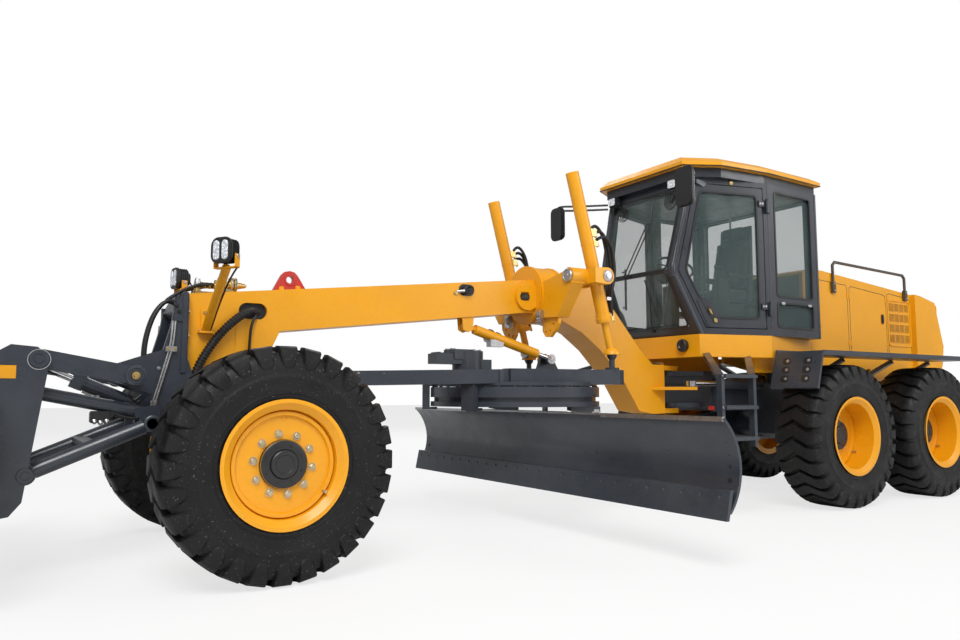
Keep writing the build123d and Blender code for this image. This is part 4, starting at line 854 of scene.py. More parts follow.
def headFittings():
    face, slotX, slotZ = headSetup["face"], headSetup["slotX"], headSetup["slotZ"]
    # black core filling the slot through the beam: painted shade of the beam's dark inside
    bm = bmesh.new()
    prism(bm, roundRect((slotX, slotZ), headSetup["slotLong"], headSetup["slotTall"], 55, 10), -118, 118,
          "y")
    piece("slot_lining", bm, "black", "front_unit")
    bm = bmesh.new()
    for hand in bothSides:
        ribbedSkin(bm, [(slotX - 40, hand * 100, slotZ), (slotX, hand * 150, slotZ + 8),
                        (slotX + 90, hand * 200, slotZ - 30), (slotX + 230, hand * 206, slotZ - 160),
                        (slotX + 340, hand * 200, slotZ - 330), (slotX + 400, hand * 192, slotZ - 480),
                        (slotX + 420, hand * 186, slotZ - 620)], 31, 22)
    piece("corrugated_hoses", bm, "hose", "front_unit", limit=25)
    pipe("thin_hoses", [[(slotX - 30, hand * 110, slotZ - 10), (slotX - 24, hand * 172, slotZ - 20),
                         (slotX + 20, hand * 180, slotZ - 90), (slotX + 24, hand * 168, slotZ - 230),
                         (slotX + 30, hand * 160, slotZ - 420)] for hand in bothSides], 10, "hose",
         "front_unit")
    spots = [((face - 2, hand * y, z + dz), backwards) for hand in bothSides
             for z in (1601, 1439, 1277, 1120) for y, dz in ((166, 0), (190, -12))]
    boltsAt("head_joint_bolts", spots, 17, "brass", "front_unit")
    bm = bmesh.new()
    for hand in bothSides:
        sideBox(bm, hand, (6215, 6223), (150, 153), (970, 1560))
        sideBox(bm, hand, (6300, 6500), (150, 153), (1040, 1048))
    piece("head_weld_seams", bm, "yellow", "front_unit", bevel=1)
    bm = bmesh.new()
    for hand in bothSides:
        sideBox(bm, hand, (face - 2, face + 14), (152, 216), (1000, 1700))
    piece("joint_flanges", bm, "slate", "front_unit", bevel=3)


def manifold():
    # swivel joint that lies along the top of the head
    bm = bmesh.new()
    axisZ = 1814
    lathe(bm, (6340, 0, axisZ), backwards, [(0, 0), (0, 30), (20, 30), (24, 50), (34, 50), (38, 34),
                                            (70, 34), (74, 28), (96, 28), (100, 52), (110, 52), (114, 40),
                                            (124, 40), (128, 54), (138, 54), (142, 30), (180, 22),
                                            (215, 14), (225, 0)], 28)
    box(bm, (6330, -46, 1736), (6480, 46, 1752))
    box(bm, (6220, -50, 1750), (6330, 50, 1775))
    rod(bm, (6330, 0, axisZ - 14), (6450, 0, axisZ - 14), 22)
    lathe(bm, (6456, 0, 1745), upwards, [(0, 0), (0, 30), (14, 30), (18, 22), (50, 22), (60, 18), (72, 0)],
          20)
    piece("swivel_manifold", bm, "brass", "front_unit")
    bm = bmesh.new()
    for x in (6302, 6230, 6200):
        lathe(bm, (x, 0, axisZ), backwards, band(40, 56, 7), 28)
    lathe(bm, (6456, 0, 1800), upwards, [(0, 0), (0, 24), (8, 24), (44, 17), (54, 0)], 20)
    piece("manifold_rings", bm, "steel", "front_unit")
    routes = [[(6430 - i * 34, side * 30, 1790), (6430 - i * 34, side * 90, 1806),
               (6470 - i * 14, side * 112, 1786), (6570, side * (96 - i * 20), 1750),
               (6640, side * (90 - i * 20), 1690)] for i in range(3) for side in bothSides]
    pipe("manifold_hoses", routes, 10, "hose", "front_unit")


def lugFeet():
    bm = bmesh.new()
    for x in (5744, 5868):
        box(bm, (x - 19, -34, 1790), (x + 19, 34, 1842 - (x - 5744) * 0.1))
    piece("lug_feet", bm, "yellow", "front_unit", bevel=6)
    bm = bmesh.new()
    for hand in bothSides:
        lathe(bm, (5805, hand * 19, 1884), (0, hand, 0), [(0, 27), (0, 46), (7, 43), (7, 29), (0, 27)], 32)
    piece("lug_rings", bm, "red", "front_unit")


def cableHoles():
    x, z = 4354, 1897
    # dark plates in the beam's sides: painted shade of the cable openings
    bm = bmesh.new()
    for hand in bothSides:
        prism(bm, roundRect((x, z), 146, 96, 46, 8), hand * 148, hand * 152, "y")
    piece("cable_holes", bm, "black", "front_unit")
    pipe("cable_loops", [[(x - 60, hand * 148, z + 4), (x - 50, hand * 176, z + 20),
                          (x, hand * 184, z + dz), (x + 46, hand * 176, z - 8),
                          (x + 58, hand * 148, z - 14)] for hand in bothSides for dz in (34, -2, -34)], 13,
         "hose", "front_unit")
    spots = [((4458, hand * 150, 1863), (0, hand, 0)) for hand in bothSides]
    boltsAt("cable_hole_bolts", spots, 20, "brass", "front_unit")
    bm = bmesh.new()
    for hand in bothSides:
        rod(bm, (4448, hand * 150, 1880), (4392, hand * 190, 1884), 12)
    piece("cable_clamps", bm, "steel", "front_unit")


workLamps()
headFittings()
manifold()
lugFeet()
cableHoles()
print("beam dressed")


# Front linkage: bracket, arms, ram and carrier
bracketSetup = {"outer": 218, "pipe": 7}
linkPins = {"linkBack": (6890, 1155), "linkFront": (7410, 1240), "armBack": (6780, 860),
            "armFront": (7450, 586)}


def pinHead(bm, x, y, z, hand, radius):
    # turned pin end with a groove and a raised rim
    lathe(bm, (x, y, z), (0, hand, 0), [(0, 0), (0, radius), (5, radius), (8, radius - 3),
                                        (8, radius * 0.62), (5, radius * 0.6), (5, radius * 0.45),
                                        (9, radius * 0.42), (9, 0)], 32)


def linkagePins():
    backs, fronts = bmesh.new(), bmesh.new()
    bolts = []
    for hand in bothSides:
        x, z = linkPins["linkBack"]
        lathe(backs, (x, hand * 440, z), (0, hand, 0),
              [(0, 0), (0, 60), (4, 62), (10, 60), (12, 46), (8, 44), (8, 30), (11, 28), (11, 0)], 40)
        bolts.append(((x, hand * 450, z), (0, hand, 0)))
        x, z = linkPins["linkFront"]
        pinHead(fronts, x, hand * 490, z, hand, 52)
        x, z = linkPins["armFront"]
        pinHead(fronts, x, hand * 490, z, hand, 44)
    piece("link_back_bosses", backs, "slate", "front_link")
    boltsAt("link_back_bolts", bolts, 26, "brass", "front_link")
    piece("carrier_pin_ends", fronts, "slate", "dozer_blade")
    bm = bmesh.new()
    for hand in bothSides:
        x, z = linkPins["linkFront"]
        lathe(bm, (x, hand * 491, z), (0, hand, 0), band(55, 60, 3), 40)
    piece("carrier_pin_rims", bm, "steel", "dozer_blade")
    bm = bmesh.new()
    for hand in bothSides:
        x, z = linkPins["armBack"]
        lathe(bm, (x, hand * 413, z), (0, hand, 0),
              [(0, 33), (0, 52), (8, 52), (12, 46), (12, 34), (6, 32), (6, 0)], 32)
    piece("arm_pin_caps", bm, "slate", "front_arms")


def bracketFittings():
    outer = bracketSetup["outer"]
    bm = bmesh.new()
    for hand in bothSides:
        sideBox(bm, hand, (6588, 6646), (outer, outer + 14), (1520, 1644))
        # folded edge strip down the cheek
        sidePrism(bm, hand, [(6556, 1180), (6592, 1180), (6590, 1700), (6560, 1714)], (outer, outer + 10))
    piece("bracket_tabs", bm, "slate", "front_unit", bevel=3)
    spots = [((x, hand * (outer + 14), z), (0, hand, 0)) for x, z in ((6612, 1583), (6630, 1622))
             for hand in bothSides]
    boltsAt("tab_bolts", spots, 16, "black", "front_unit")
    spots = [((x, hand * outer, z), (0, hand, 0)) for x, z in ((6723, 1209), (6700, 900))
             for hand in bothSides]
    boltsAt("cheek_bolts", spots, 13, "steel", "front_unit")
    # steel pipes down the cheek, with their clamp
    path = ((6636, 238, 1520), (6640, 238, 1420), (6650, 238, 1336), (6700, 238, 1140), (6736, 238, 1010),
            (6742, 226, 970))
    routes = [[(x + shift, hand * y, z) for x, y, z in path] for hand in bothSides for shift in (0, 16)]
    pipe("cheek_pipes", routes, bracketSetup["pipe"], "steel", "front_unit")
    bm = bmesh.new()
    for hand in bothSides:
        sideBox(bm, hand, (6622, 6690), (outer, outer + 34), (1318, 1352))
        for x, z in ((6738, 1004), (6757, 1000)):
            lathe(bm, (x, hand * 236, z), (0.2, 0, -1),
                  [(0, 0), (0, 13), (16, 13), (18, 10), (40, 10), (42, 14), (52, 14), (54, 0)], 10)
    piece("pipe_clamps", bm, "steel", "front_unit", bevel=2)
    boltsAt("clamp_bolts", [((x, hand * (outer + 34), 1335), (0, hand, 0)) for hand in bothSides
                            for x in (6634, 6678)], 11, "brass", "front_unit")
    # hoses from the bracket's top to the front ram
    routes = [[(6596, y, 1640), (6650, y, 1690), (6740, y + 6, 1590), (6790, y + 10, 1420),
               (6800, y + 12, 1260), (6784, y + 14, 1150)] for y in (44, 70, 96)]
    pipe("ram_hoses", routes, 14, "hose", "front_unit")
    # bolts of the front plate
    spots = [((6594, y, z), forwards) for y in (-140, 140) for z in (1080, 1240, 1400, 1520)]
    boltsAt("front_plate_bolts", spots, 18, "slate", "front_unit")


def ramFittings():
    # station along the ram from its barrel's pin, 0, to the rod's eye, 1
    def alongRam(share, y=130, up=0):
        return (6800 + 585 * share, y, 955 + 260 * share + up)

    bm = bmesh.new()
    spot, way = alongRam(0.58), Vector((585, 0, 260))
    lathe(bm, spot, way, [(0, 40), (0, 50), (14, 50), (16, 46), (60, 46), (62, 52), (78, 52), (80, 30),
                          (0, 30)], 28)
    lathe(bm, alongRam(0.16), way, [(0, 30), (0, 50), (16, 50), (18, 44), (18, 30), (0, 30)], 28)
    piece("ram_collars", bm, "slate", "front_ram_barrel")
    pipe("ram_feed_pipes", [[alongRam(0.2, 130 + s * 20, -48), alongRam(0.3, 130 + s * 20, -62),
                             alongRam(0.5, 130 + s * 20, -62), alongRam(0.6, 130 + s * 18, -52)]
                            for s in bothSides], 8, "steel", "front_ram_barrel")
    bm = bmesh.new()
    for share in (0.26, 0.46):
        x, y, z = alongRam(share)
        box(bm, (x - 12, 94, z - 74), (x + 12, 166, z - 40))
    piece("ram_pipe_clips", bm, "steel", "front_ram_barrel", bevel=2)
    # coupler block under the brace, on the arms
    bm = bmesh.new()
    box(bm, (7010, 262, 868), (7120, 338, 940))
    box(bm, (6986, 272, 900), (7010, 328, 950))
    piece("coupler_block", bm, "black", "front_arms", bevel=6)
    bm = bmesh.new()
    for x, z in ((7030, 880), (7064, 872), (7098, 880)):
        lathe(bm, (x, 338, z), (0, 1, -0.3), [(0, 0), (0, 15), (10, 15), (14, 11), (22, 13), (28, 9),
                                              (32, 0)], 16)
    piece("coupler_unions", bm, "steel", "front_arms")
    pipe("coupler_hoses", [[(6990, 300 + s * 14, 924), (6930, 300 + s * 14, 900), (6880, 300 + s * 12, 890),
                            (6830, 300 + s * 10, 902)] for s in bothSides], 12, "hose", "front_arms")


def carrierFittings():
    bm = bmesh.new()
    for hand in bothSides:
        # pressed slanted oval in the carrier's cheek
        outline = [(7625 + 36 * a - 18 * b, 800 + 98 * b) for a, b in onCircle(1, 32)]
        prism(bm, outline, hand * 489, hand * 493, "y")
    piece("carrier_pressings", bm, "slate", "dozer_blade", bevel=2)
    bm = bmesh.new()
    for hand in bothSides:
        sideBox(bm, hand, (7520, 7650), (490, 492), (1130, 1205))
    piece("blank_plates", bm, "yellow", "dozer_blade", bevel=1)
    # ribs and bolts behind the dozer blade
    bm = bmesh.new()
    for y in (-1160, -880, 880, 1160):
        prism(bm, [(7668, 420), (7720, 400), (7730, 1100), (7690, 1120), (7660, 900), (7656, 620)], y - 9,
              y + 9, "y")
    piece("dozer_ribs", bm, "slate", "dozer_blade", bevel=2)
    spots = [((7838, y, 380), (-1, 0, 0.1)) for y in range(-1200, 1201, 200)]
    boltsAt("dozer_edge_nuts", spots, 20, "steel", "dozer_blade")


linkagePins()
bracketFittings()
ramFittings()
carrierFittings()
print("linkage dressed")


# Saddle: drum, lock windows and brackets, pins, and both kinds of cylinders' fittings
saddleSetup = {"drumX": 3657, "drumZ": 1916, "holeRing": 226, "ringRadius": 252, "boltRing": 120,
               "bossZ": 2020}
liftSetup = {"low": (3177, 1370), "slope": 0.2692, "out": 600, "hoseRadius": 14}


def alongLift(z, hand, out=0, ahead=0):
    # station on a lift cylinder's axis at height z, moved out of it sideways or forward
    low = liftSetup["low"]
    return (low[0] + liftSetup["slope"] * (z - low[1]) + ahead, hand * (liftSetup["out"] + out), z)


def drumFittings():
    x, z = saddleSetup["drumX"], saddleSetup["drumZ"]
    # black rings on the drum's face: painted shade of the holes in it
    bm = bmesh.new()
    for y, level in onCircle(saddleSetup["holeRing"], 14, 0.35, (0, z)):
        lathe(bm, (x, y, level), forwards, [(0, 0), (0, 17), (2.5, 16), (2.5, 10), (1, 9), (1, 0)], 20)
    piece("drum_holes", bm, "black", "front_unit")
    bm = bmesh.new()
    for hand in bothSides:
        # bright window in the lock boss, in a dark frame
        prism(bm, roundRect((3785, 1877), 96, 60, 26, 6), hand * 128, hand * 188, "y")
    piece("lock_windows", bm, "black", "front_unit")
    bm = bmesh.new()
    for hand in bothSides:
        prism(bm, roundRect((3785, 1877), 78, 42, 18, 6), hand * 188, hand * 190.5, "y")
    piece("lock_glass", bm, "glass", "front_unit")
    bm = bmesh.new()
    prism(bm, onCircle(saddleSetup["ringRadius"], 64, 0, (0, z)), x - 1, x + 8, "x")
    piece("drum_face_ring", bm, "yellow", "front_unit", bevel=4)
    spots = [((x + 8, y, level), forwards) for y, level in onCircle(saddleSetup["boltRing"], 8, 0.5,
                                                                    (0, z))]
    boltsAt("drum_cover_bolts", spots, 24, "brass", "front_unit")


def saddlePins():
    z = saddleSetup["bossZ"]
    bm = bmesh.new()
    for hand in bothSides:
        lathe(bm, (3640, hand * 600, z), forwards,
              [(0, 0), (0, 56), (14, 58), (20, 54), (22, 44), (18, 42), (18, 16), (22, 14), (22, 0)], 36)
        lathe(bm, (3352, hand * 758, z), (0, hand, 0),
              [(0, 0), (0, 50), (10, 50), (14, 44), (14, 26), (20, 24), (20, 0)], 32)
    piece("saddle_pins", bm, "steel", "front_unit")
    bm = bmesh.new()
    for hand in bothSides:
        # lock pin's bracket between the drum and the arm, with its rollers
        outline = rounded([(3640, 1640), (3640, 1760), (3678, 1772), (3690, 1700), (3676, 1640)], 12)
        sidePrism(bm, hand, outline, (214, 262))
        for z in (1668, 1742):
            lathe(bm, (3676, hand * 208, z), (0, hand, 0), disc(16, 62), 18)
    piece("lock_brackets", bm, "steel", "front_unit", bevel=2)
    boltsAt("lock_bracket_bolts", [((3690, hand * 238, z), forwards) for hand in bothSides
                                   for z in (1690, 1720)], 16, "steel", "front_unit")


# Hose loop down a lift barrel: height, fall per hose, gap between hoses, distance behind, its stagger.
hoseLoop = [(2440, 46, 26, 92, 0), (2500, 50, 26, 150, 16), (2420, 50, 26, 220, 10), (2260, 0, 26, 220, 14),
            (2060, 0, 26, 190, 14), (1880, 0, 24, 112, 0), (1760, 0, 18, 96, 0), (1706, 0, 14, 84, 0)]


def liftFittings():
    way = Vector((liftSetup["slope"], 0, 1))
    for hand, word in sideNames.items():
        body = "lift_barrel_" + word
        bm = bmesh.new()
        lathe(bm, alongLift(1652, hand), way, [(0, 44), (0, 66), (8, 69), (40, 69), (48, 60), (48, 44),
                                               (0, 44)], 36)
        for z in (1880, 2300):
            lathe(bm, alongLift(z, hand), way, band(50, 59, 12), 36)
        piece("lift_collars_" + word, bm, "yellow", body)
        bm = bmesh.new()
        for level, size in ((2410, 30), (2330, 24), (1700, 24)):
            x, y, z = alongLift(level, hand, 0, -72)
            box(bm, (x - 34, y - size, z - 34), (x + 30, y + size, z + 26))
            lathe(bm, (x - 30, y, z), (-0.6, 0, -1),
                  [(0, 0), (0, 17), (16, 17), (20, 13), (42, 13), (46, 0)], 12)
        piece("lift_ports_" + word, bm, "brass", body, bevel=5)
        routes = [[alongLift(z - i * fall, hand, (i - 1) * gap, -back - i * stagger)
                   for z, fall, gap, back, stagger in hoseLoop] for i in range(3)]
        pipe("lift_hoses_" + word, routes, liftSetup["hoseRadius"], "hose", body)
        bm = bmesh.new()
        x, y, z = alongLift(1850, hand, 0, -70)
        box(bm, (x - 34, y - 36, z - 14), (x + 18, y + 36, z + 14))
        piece("lift_hose_clips_" + word, bm, "steel", body, bevel=3)


def centreFittings():
    # clamps and block of the centre shift barrel
    start, end = Vector((4330, 95, 1605)), Vector((3450, 0, 1350))
    way = (end - start).normalized()
    bm = bmesh.new()
    for along in (250, 330):
        lathe(bm, start + way * along, way, band(36, 60, 26), 32)
    lathe(bm, start + way * 690, way, [(0, 34), (0, 58), (26, 58), (30, 50), (30, 34), (0, 34)], 32)
    box(bm, (start.x - 360, 60, 1440), (start.x - 230, 130, 1500))
    piece("centre_clamps", bm, "steel", "centre_shift_barrel")
    bm = bmesh.new()
    lathe(bm, (3450, -44, 1350), (0, 1, 0), [(0, 0), (0, 40), (14, 50), (74, 50), (88, 40), (88, 0)], 28)
    piece("centre_rod_eye", bm, "yellow", "centre_shift_rod")


drumFittings()
saddlePins()
liftFittings()
centreFittings()
print("saddle dressed")


# Cab: pillars, gaskets, doors' fittings, wipers, roof fittings
cabSetup = {"rear": 500, "postX": 1300, "postY": 790, "turn": math.radians(16.2), "kneeX": 2330,
            "kneeZ": 2200, "footX": 2045, "low": 1600, "flankSlope": 0.2903}
# Windscreen above and below its knee: forward run per height, and the outward way of its pane.
screenSetup = {"upperRun": -0.2389, "upperOut": (0.973, 0, 0.232), "lowerRun": 0.475,
               "lowerOut": (0.903, 0, -0.429)}
doorWindow = [(120, 1760), (120, 2970), (745, 2970), (915, 2200), (670, 1760)]


def onFlank(along, out, z, hand):
    # station on the cab's flank: forward along it from the hinge post, out of it, height
    turn = cabSetup["turn"]
    return (cabSetup["postX"] + along * math.cos(turn) + out * math.sin(turn),
            hand * (cabSetup["postY"] - along * math.sin(turn) + out * math.cos(turn)), z)


def flankWay(hand):
    turn = cabSetup["turn"]
    return (math.sin(turn), hand * math.cos(turn), 0)


def flankSlab(bm, outline, low, high, hand):
    # closed prism standing on the cab's flank
    loft(bm, [[bm.verts.new(at(*onFlank(along, out, z, hand))) for along, z in outline]
              for out in (low, high)])


def strip(bm, stations, wide, thick, out):
    # flat closed band round a loop of stations: wide across the loop, thick along the outward way
    count = len(stations)
    spots = [at(*s) for s in stations]
    out = Vector(out).normalized()
    rings = []
    for i in range(count):
        run = (spots[(i + 1) % count] - spots[i - 1]).normalized()
        side = run.cross(out)
        rings.append([bm.verts.new(spots[i] + side * (a * wide / 2000) + out * (b * thick / 1000))
                      for a, b in ((-1, 0), (1, 0), (0.8, 1), (-0.8, 1))])
    for one, two in zip(rings, rings[1:] + rings[:1]):
        bridge(bm, one, two)


def sideStrip(bm, hand, loop, out, wide, thick):
    # band round a loop of a side panel, at a distance from the middle plane
    strip(bm, [(x, hand * out, z) for x, z in loop], wide, thick, (0, hand, 0))


def screenSpot(y, z, out=0):
    # station on the windscreen, either side of its knee
    if z >= cabSetup["kneeZ"]:
        way = screenSetup["upperOut"]
        x = cabSetup["kneeX"] + (z - cabSetup["kneeZ"]) * screenSetup["upperRun"]
    else:
        way = screenSetup["lowerOut"]
        x = cabSetup["footX"] + (z - cabSetup["low"]) * screenSetup["lowerRun"]
    return (x + out * way[0], y, z + out * way[2])


def cornerPost(z, back, inset):
    # forward station and half width of the cab's front corner at a height, moved back and inwards
    x = screenSpot(0, z)[0] - back
    return x, cabSetup["postY"] - cabSetup["flankSlope"] * (x - cabSetup["postX"]) - inset


def pillars():
    bars = []
    for hand in bothSides:
        corner = []
        for z in (1602, 1850, 2080, 2180, 2215, 2330, 2700, 3096):
            x, y = cornerPost(z, 20, 16)
            corner.append((x, hand * y, z))
        bars.append(corner)
    pipe("front_pillars", bars, 27, "cabGrey", "rear_unit")
    posts = [[(x, hand * y, 1604), (x, hand * y, 2400), (x, hand * y, 3096)] for hand in bothSides
             for x, y in ((522, 764), (1288, 770))]
    pipe("rear_pillars", posts, 24, "cabGrey", "rear_unit")
    bm = bmesh.new()
    for hand in bothSides:
        # knee joint cover between the panes, in the outer corner
        x, y = cornerPost(cabSetup["kneeZ"], 26, 14)
        lathe(bm, (x, hand * y, 2136), upwards, [(0, 0), (0, 27), (12, 31), (116, 31), (128, 27), (128, 0)],
              20)
    piece("pillar_knees", bm, "cabGrey", "rear_unit")


def gaskets():
    bm = bmesh.new()
    for hand in bothSides:
        for low, high in ((1990, 3030), (1690, 1930)):
            loop = rounded([(610, low), (610, high), (1190, high), (1190, low)], 42)
            strip(bm, [(x, hand * (780 + (x - 500) * 0.0125), z) for x, z in loop], 22, 6, (0, hand, 0))
    for outline, out in (([(-430, 2212), (430, 2212), (480, 3020), (-480, 3020)], "upperOut"),
                         ([(-470, 1680), (470, 1680), (415, 2188), (-415, 2188)], "lowerOut")):
        strip(bm, [screenSpot(y, z) for y, z in rounded(outline, 50)], 24, 6, screenSetup[out])
    loop = rounded([(-660, 2000), (660, 2000), (660, 3030), (-660, 3030)], 50)
    strip(bm, [(cabSetup["rear"], y, z) for y, z in loop], 24, 6, backwards)
    piece("window_gaskets", bm, "black", "rear_unit", limit=50)
    for hand, word in sideNames.items():
        bm = bmesh.new()
        strip(bm, [onFlank(a, 0, z, hand) for a, z in rounded(doorWindow, 48)], 22, 6, flankWay(hand))
        piece("door_gasket_" + word, bm, "black", "door_" + word, limit=50)


def doorFittings():
    for hand, word in sideNames.items():
        body = "door_" + word
        # handle's panel in the lower front corner, with a slanted dish and its latch
        bm = bmesh.new()
        flankSlab(bm, rounded([(596, 1676), (560, 1720), (566, 1800), (640, 1900), (730, 1950), (812, 1930),
                               (700, 1676)], 30), -2, 5, hand)
        piece("handle_panel_" + word, bm, "cabGrey", body, bevel=2)
        bm = bmesh.new()
        dish = [(652 + 98 * a * 0.55 - 30 * b * 0.83, 1790 + 98 * a * 0.83 + 30 * b * 0.55)
                for a, b in onCircle(1, 28)]
        flankSlab(bm, dish, 3, 7, hand)
        piece("door_recess_" + word, bm, "black", body, bevel=1)
        bm = bmesh.new()
        flankSlab(bm, rounded([(600, 1712), (606, 1748), (640, 1756), (634, 1716)], 10), 6, 18, hand)
        flankSlab(bm, rounded([(650, 1786), (668, 1830), (694, 1846), (676, 1796)], 7), 6, 22, hand)
        piece("door_latch_" + word, bm, "brass", body, bevel=3)
        bm = bmesh.new()
        # pull bar inside, with its two feet
        for z in (1960, 2340):
            rod(bm, onFlank(700, -36, z, hand), onFlank(700, -74, z, hand), 9)
        rod(bm, onFlank(700, -74, 1930, hand), onFlank(700, -74, 2370, hand), 12)
        piece("door_pull_" + word, bm, "black", body)
        spots = [(onFlank(along, 18, z + 30, hand), flankWay(hand)) for z in (1850, 2860)
                 for along in (62, 90)]
        boltsAt("hinge_bolts_" + word, spots, 11, "steel", body)
        bm = bmesh.new()
        for z in (1850, 2860):
            lathe(bm, onFlank(20, 26, z + 61, hand), upwards,
                  [(0, 0), (0, 17), (6, 17), (10, 12), (16, 12), (18, 0)], 16)
        piece("hinge_caps_" + word, bm, "black", body)
    bm = bmesh.new()
    for hand in bothSides:
        # two catches on the small rear window
        for x in (690, 1110):
            sidePrism(bm, hand, roundRect((x, 1926), 52, 26, 8), (786, 800))
            rod(bm, (x - 16, hand * 800, 1926), (x - 16, hand * 806, 1926), 7)
    piece("window_catches", bm, "steel", "rear_unit", bevel=2)
    bm = bmesh.new()
    for hand in bothSides:
        # small lamp above each door
        lathe(bm, onFlank(400, 0, 3074, hand), (0.28, hand * 0.96, 0),
              [(0, 0), (0, 24), (8, 24), (12, 19), (20, 12), (23, 0)], 20)
    piece("door_lamps", bm, "brass", "rear_unit")
    bm = bmesh.new()
    for hand in bothSides:
        # horn on the belt's front
        lathe(bm, (2082, hand * 400, 1500), forwards,
              [(0, 0), (0, 58), (22, 62), (38, 60), (46, 50), (46, 40), (32, 26), (32, 0)], 28)
    piece("belt_horns", bm, "black", "rear_unit")


def roofFittings():
    black, cap = bmesh.new(), bmesh.new()
    lathe(black, (1760, -300, 3284), upwards, [(0, 0), (0, 76), (14, 76), (22, 62), (60, 60), (64, 66),
                                               (76, 66), (76, 0)], 36)
    lathe(cap, (1760, -300, 3358), upwards, [(0, 0), (0, 58), (60, 56), (84, 46), (96, 26), (100, 0)], 36)
    # mirrors: rounded shells on wire loops
    arms, glassFaces, lamps, lenses = [], bmesh.new(), bmesh.new(), bmesh.new()
    for hand in bothSides:
        for low, high, shrink in ((2538, 2552, 14), (2552, 2582, 0), (2582, 2590, 8)):
            prism(black, roundRect((hand * 902, 2860), 196 - shrink, 356 - shrink, 52, 6), low, high, "x")
        prism(glassFaces, roundRect((hand * 902, 2860), 172, 332, 44, 6), 2534, 2538, "x")
        for dz in (0, 46):
            arms.append([(2150, hand * 560, 3052 - dz), (2240, hand * 640, 3052 - dz),
                         (2420, hand * 770, 3046 - dz), (2560, hand * 880, 3050 - dz),
                         (2562, hand * 904, 3020 - dz * 0.2), (2562, hand * 904, 2960),
                         (2562, hand * 904, 2760)])
        # square work lamps under the roof's front edge
        y, z = hand * 420, 3045
        prism(lamps, roundRect((y, z), 116, 100, 20, 5), 2156, 2214, "x")
        prism(lamps, roundRect((y, z), 104, 88, 18, 5), 2214, 2222, "x")
        prism(lenses, roundRect((y, z), 90, 74, 14, 5), 2222, 2230, "x")
        box(lamps, (2140, y - 20, 3092), (2190, y + 20, 3102))
    pipe("mirror_arms", arms, 11, "black", "rear_unit")
    piece("mirror_glass", glassFaces, "chrome", "rear_unit", bevel=1)
    piece("roof_lamps", lamps, "black", "rear_unit", bevel=4)
    piece("roof_lamp_lenses", lenses, "lens", "rear_unit", bevel=2)
    piece("beacon_dome", cap, "amber", "rear_unit")
    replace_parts(piece("cab_mirrors", black, "black", "rear_unit", bevel=3), "cab_fittings")
    bm = bmesh.new()
    for x, y in ((700, 420), (700, -420), (1850, 500), (1850, -500)):
        lathe(bm, (x, y, 3278), upwards, [(0, 0), (0, 22), (10, 22), (14, 12), (26, 12), (26, 0)], 16)
        for i in range(2):
            lathe(bm, (x, y - 5 + i * 5, 3318), (0, 1, 0), band(12, 21, 5), 20)
    piece("roof_eyes", bm, "steel", "rear_unit")
    edge = [(440, 800), (1320, 826), (1900, 760), (2240, 580), (2240, -580), (1900, -760), (1320, -826),
            (440, -800)]
    # black strip under the roof's edge: painted shade of the roof's underside
    bm = bmesh.new()
    strip(bm, [(x, y, 3196) for x, y in edge], 14, 7, (0, 0, -1))
    piece("roof_seal", bm, "black", "rear_unit", limit=50)


def wipers():
    bm = bmesh.new()
    for y, z in ((-60, 2200), (-116, 2200), (0, 1668)):
        lathe(bm, screenSpot(y, z, 0), (0.95, 0, -0.1),
              [(0, 0), (0, 22), (16, 20), (22, 12), (30, 12), (32, 0)], 20)
    for start, end in (((-60, 2200), (150, 2700)), ((-116, 2200), (94, 2700)), ((0, 1668), (130, 1980))):
        rod(bm, screenSpot(*start, 26), screenSpot(*end, 26), 6)
    rod(bm, screenSpot(94, 2700, 28), screenSpot(150, 2700, 28), 7)
    # blades: a rubber edge on a bowed back
    for low, high, y in ((2420, 2960, 122), (1780, 2150, 130)):
        rod(bm, screenSpot(y, low, 12), screenSpot(y, high, 12), 6)
        rod(bm, screenSpot(y, low + 60, 20), screenSpot(y, high - 60, 20), 5)
    piece("wipers", bm, "black", "rear_unit")


pillars()
gaskets()
doorFittings()
roofFittings()
wipers()
print("cab dressed")


# Inside the cab: padded seat, steering wheel, dash, consoles, fans and bars
padSetup = {"corner": 34, "quickGrain": 0.012, "grain": 0.008, "pressure": 4, "frames": 20, "seam": 14,
            "seamDepth": 0.007, "fill": 0.8}


def cushion(name, outline, low, high, crown, cuts):
    # a crowned pad: an outline in the side profile, its width, and how far its faces swell
    bm = bmesh.new()
    prism(bm, rounded(outline, padSetup["corner"], 6), low, high, "y")
    bmesh.ops.recalc_face_normals(bm, faces=bm.faces)
    pad = meshObject(name, bm)
    grain = pad.modifiers.new("grain", "REMESH")
    grain.mode = "VOXEL"
    grain.voxel_size = padSetup["grain"]
    data = meshOf(pad)
    pad.modifiers.clear()
    pad.data = data
    start = [v.co.copy() for v in data.vertices]
    cloth = pad.modifiers.new("swell", "CLOTH")
    cloth.settings.use_pressure = True
    cloth.settings.uniform_pressure_force = padSetup["pressure"]
    cloth.settings.effector_weights.gravity = 0
    cloth.point_cache.frame_end = padSetup["frames"]
    for frameNumber in range(1, padSetup["frames"] + 1):
        scene.frame_set(frameNumber)
    swollen = meshOf(pad)
    for vert, was, now in zip(data.vertices, start, swollen.vertices):
        move = now.co - was
        if move.length > crown:
            move *= crown / move.length
        vert.co = was + move
    pad.modifiers.clear()
    bpy.data.meshes.remove(swollen)
    scene.frame_set(1)
    # sewn channels: shallow grooves across the pad
    for vert in data.vertices:
        y = vert.co.y * 1000
        for cut in cuts:
            near = abs(y - cut) / padSetup["seam"]
            if near < 1:
                vert.co -= vert.normal * padSetup["seamDepth"] * (1 - near * near)
    bm = bmesh.new()
    bm.from_mesh(data)
    bmesh.ops.smooth_vert(bm, verts=bm.verts, factor=0.5, use_axis_x=True, use_axis_y=True, use_axis_z=True)
    smoothEdges(bm, 60)
    bm.to_mesh(data)
    bm.free()
    data.materials.clear()
    data.materials.append(finish["fabric"])
    settle(pad, "rear_unit")


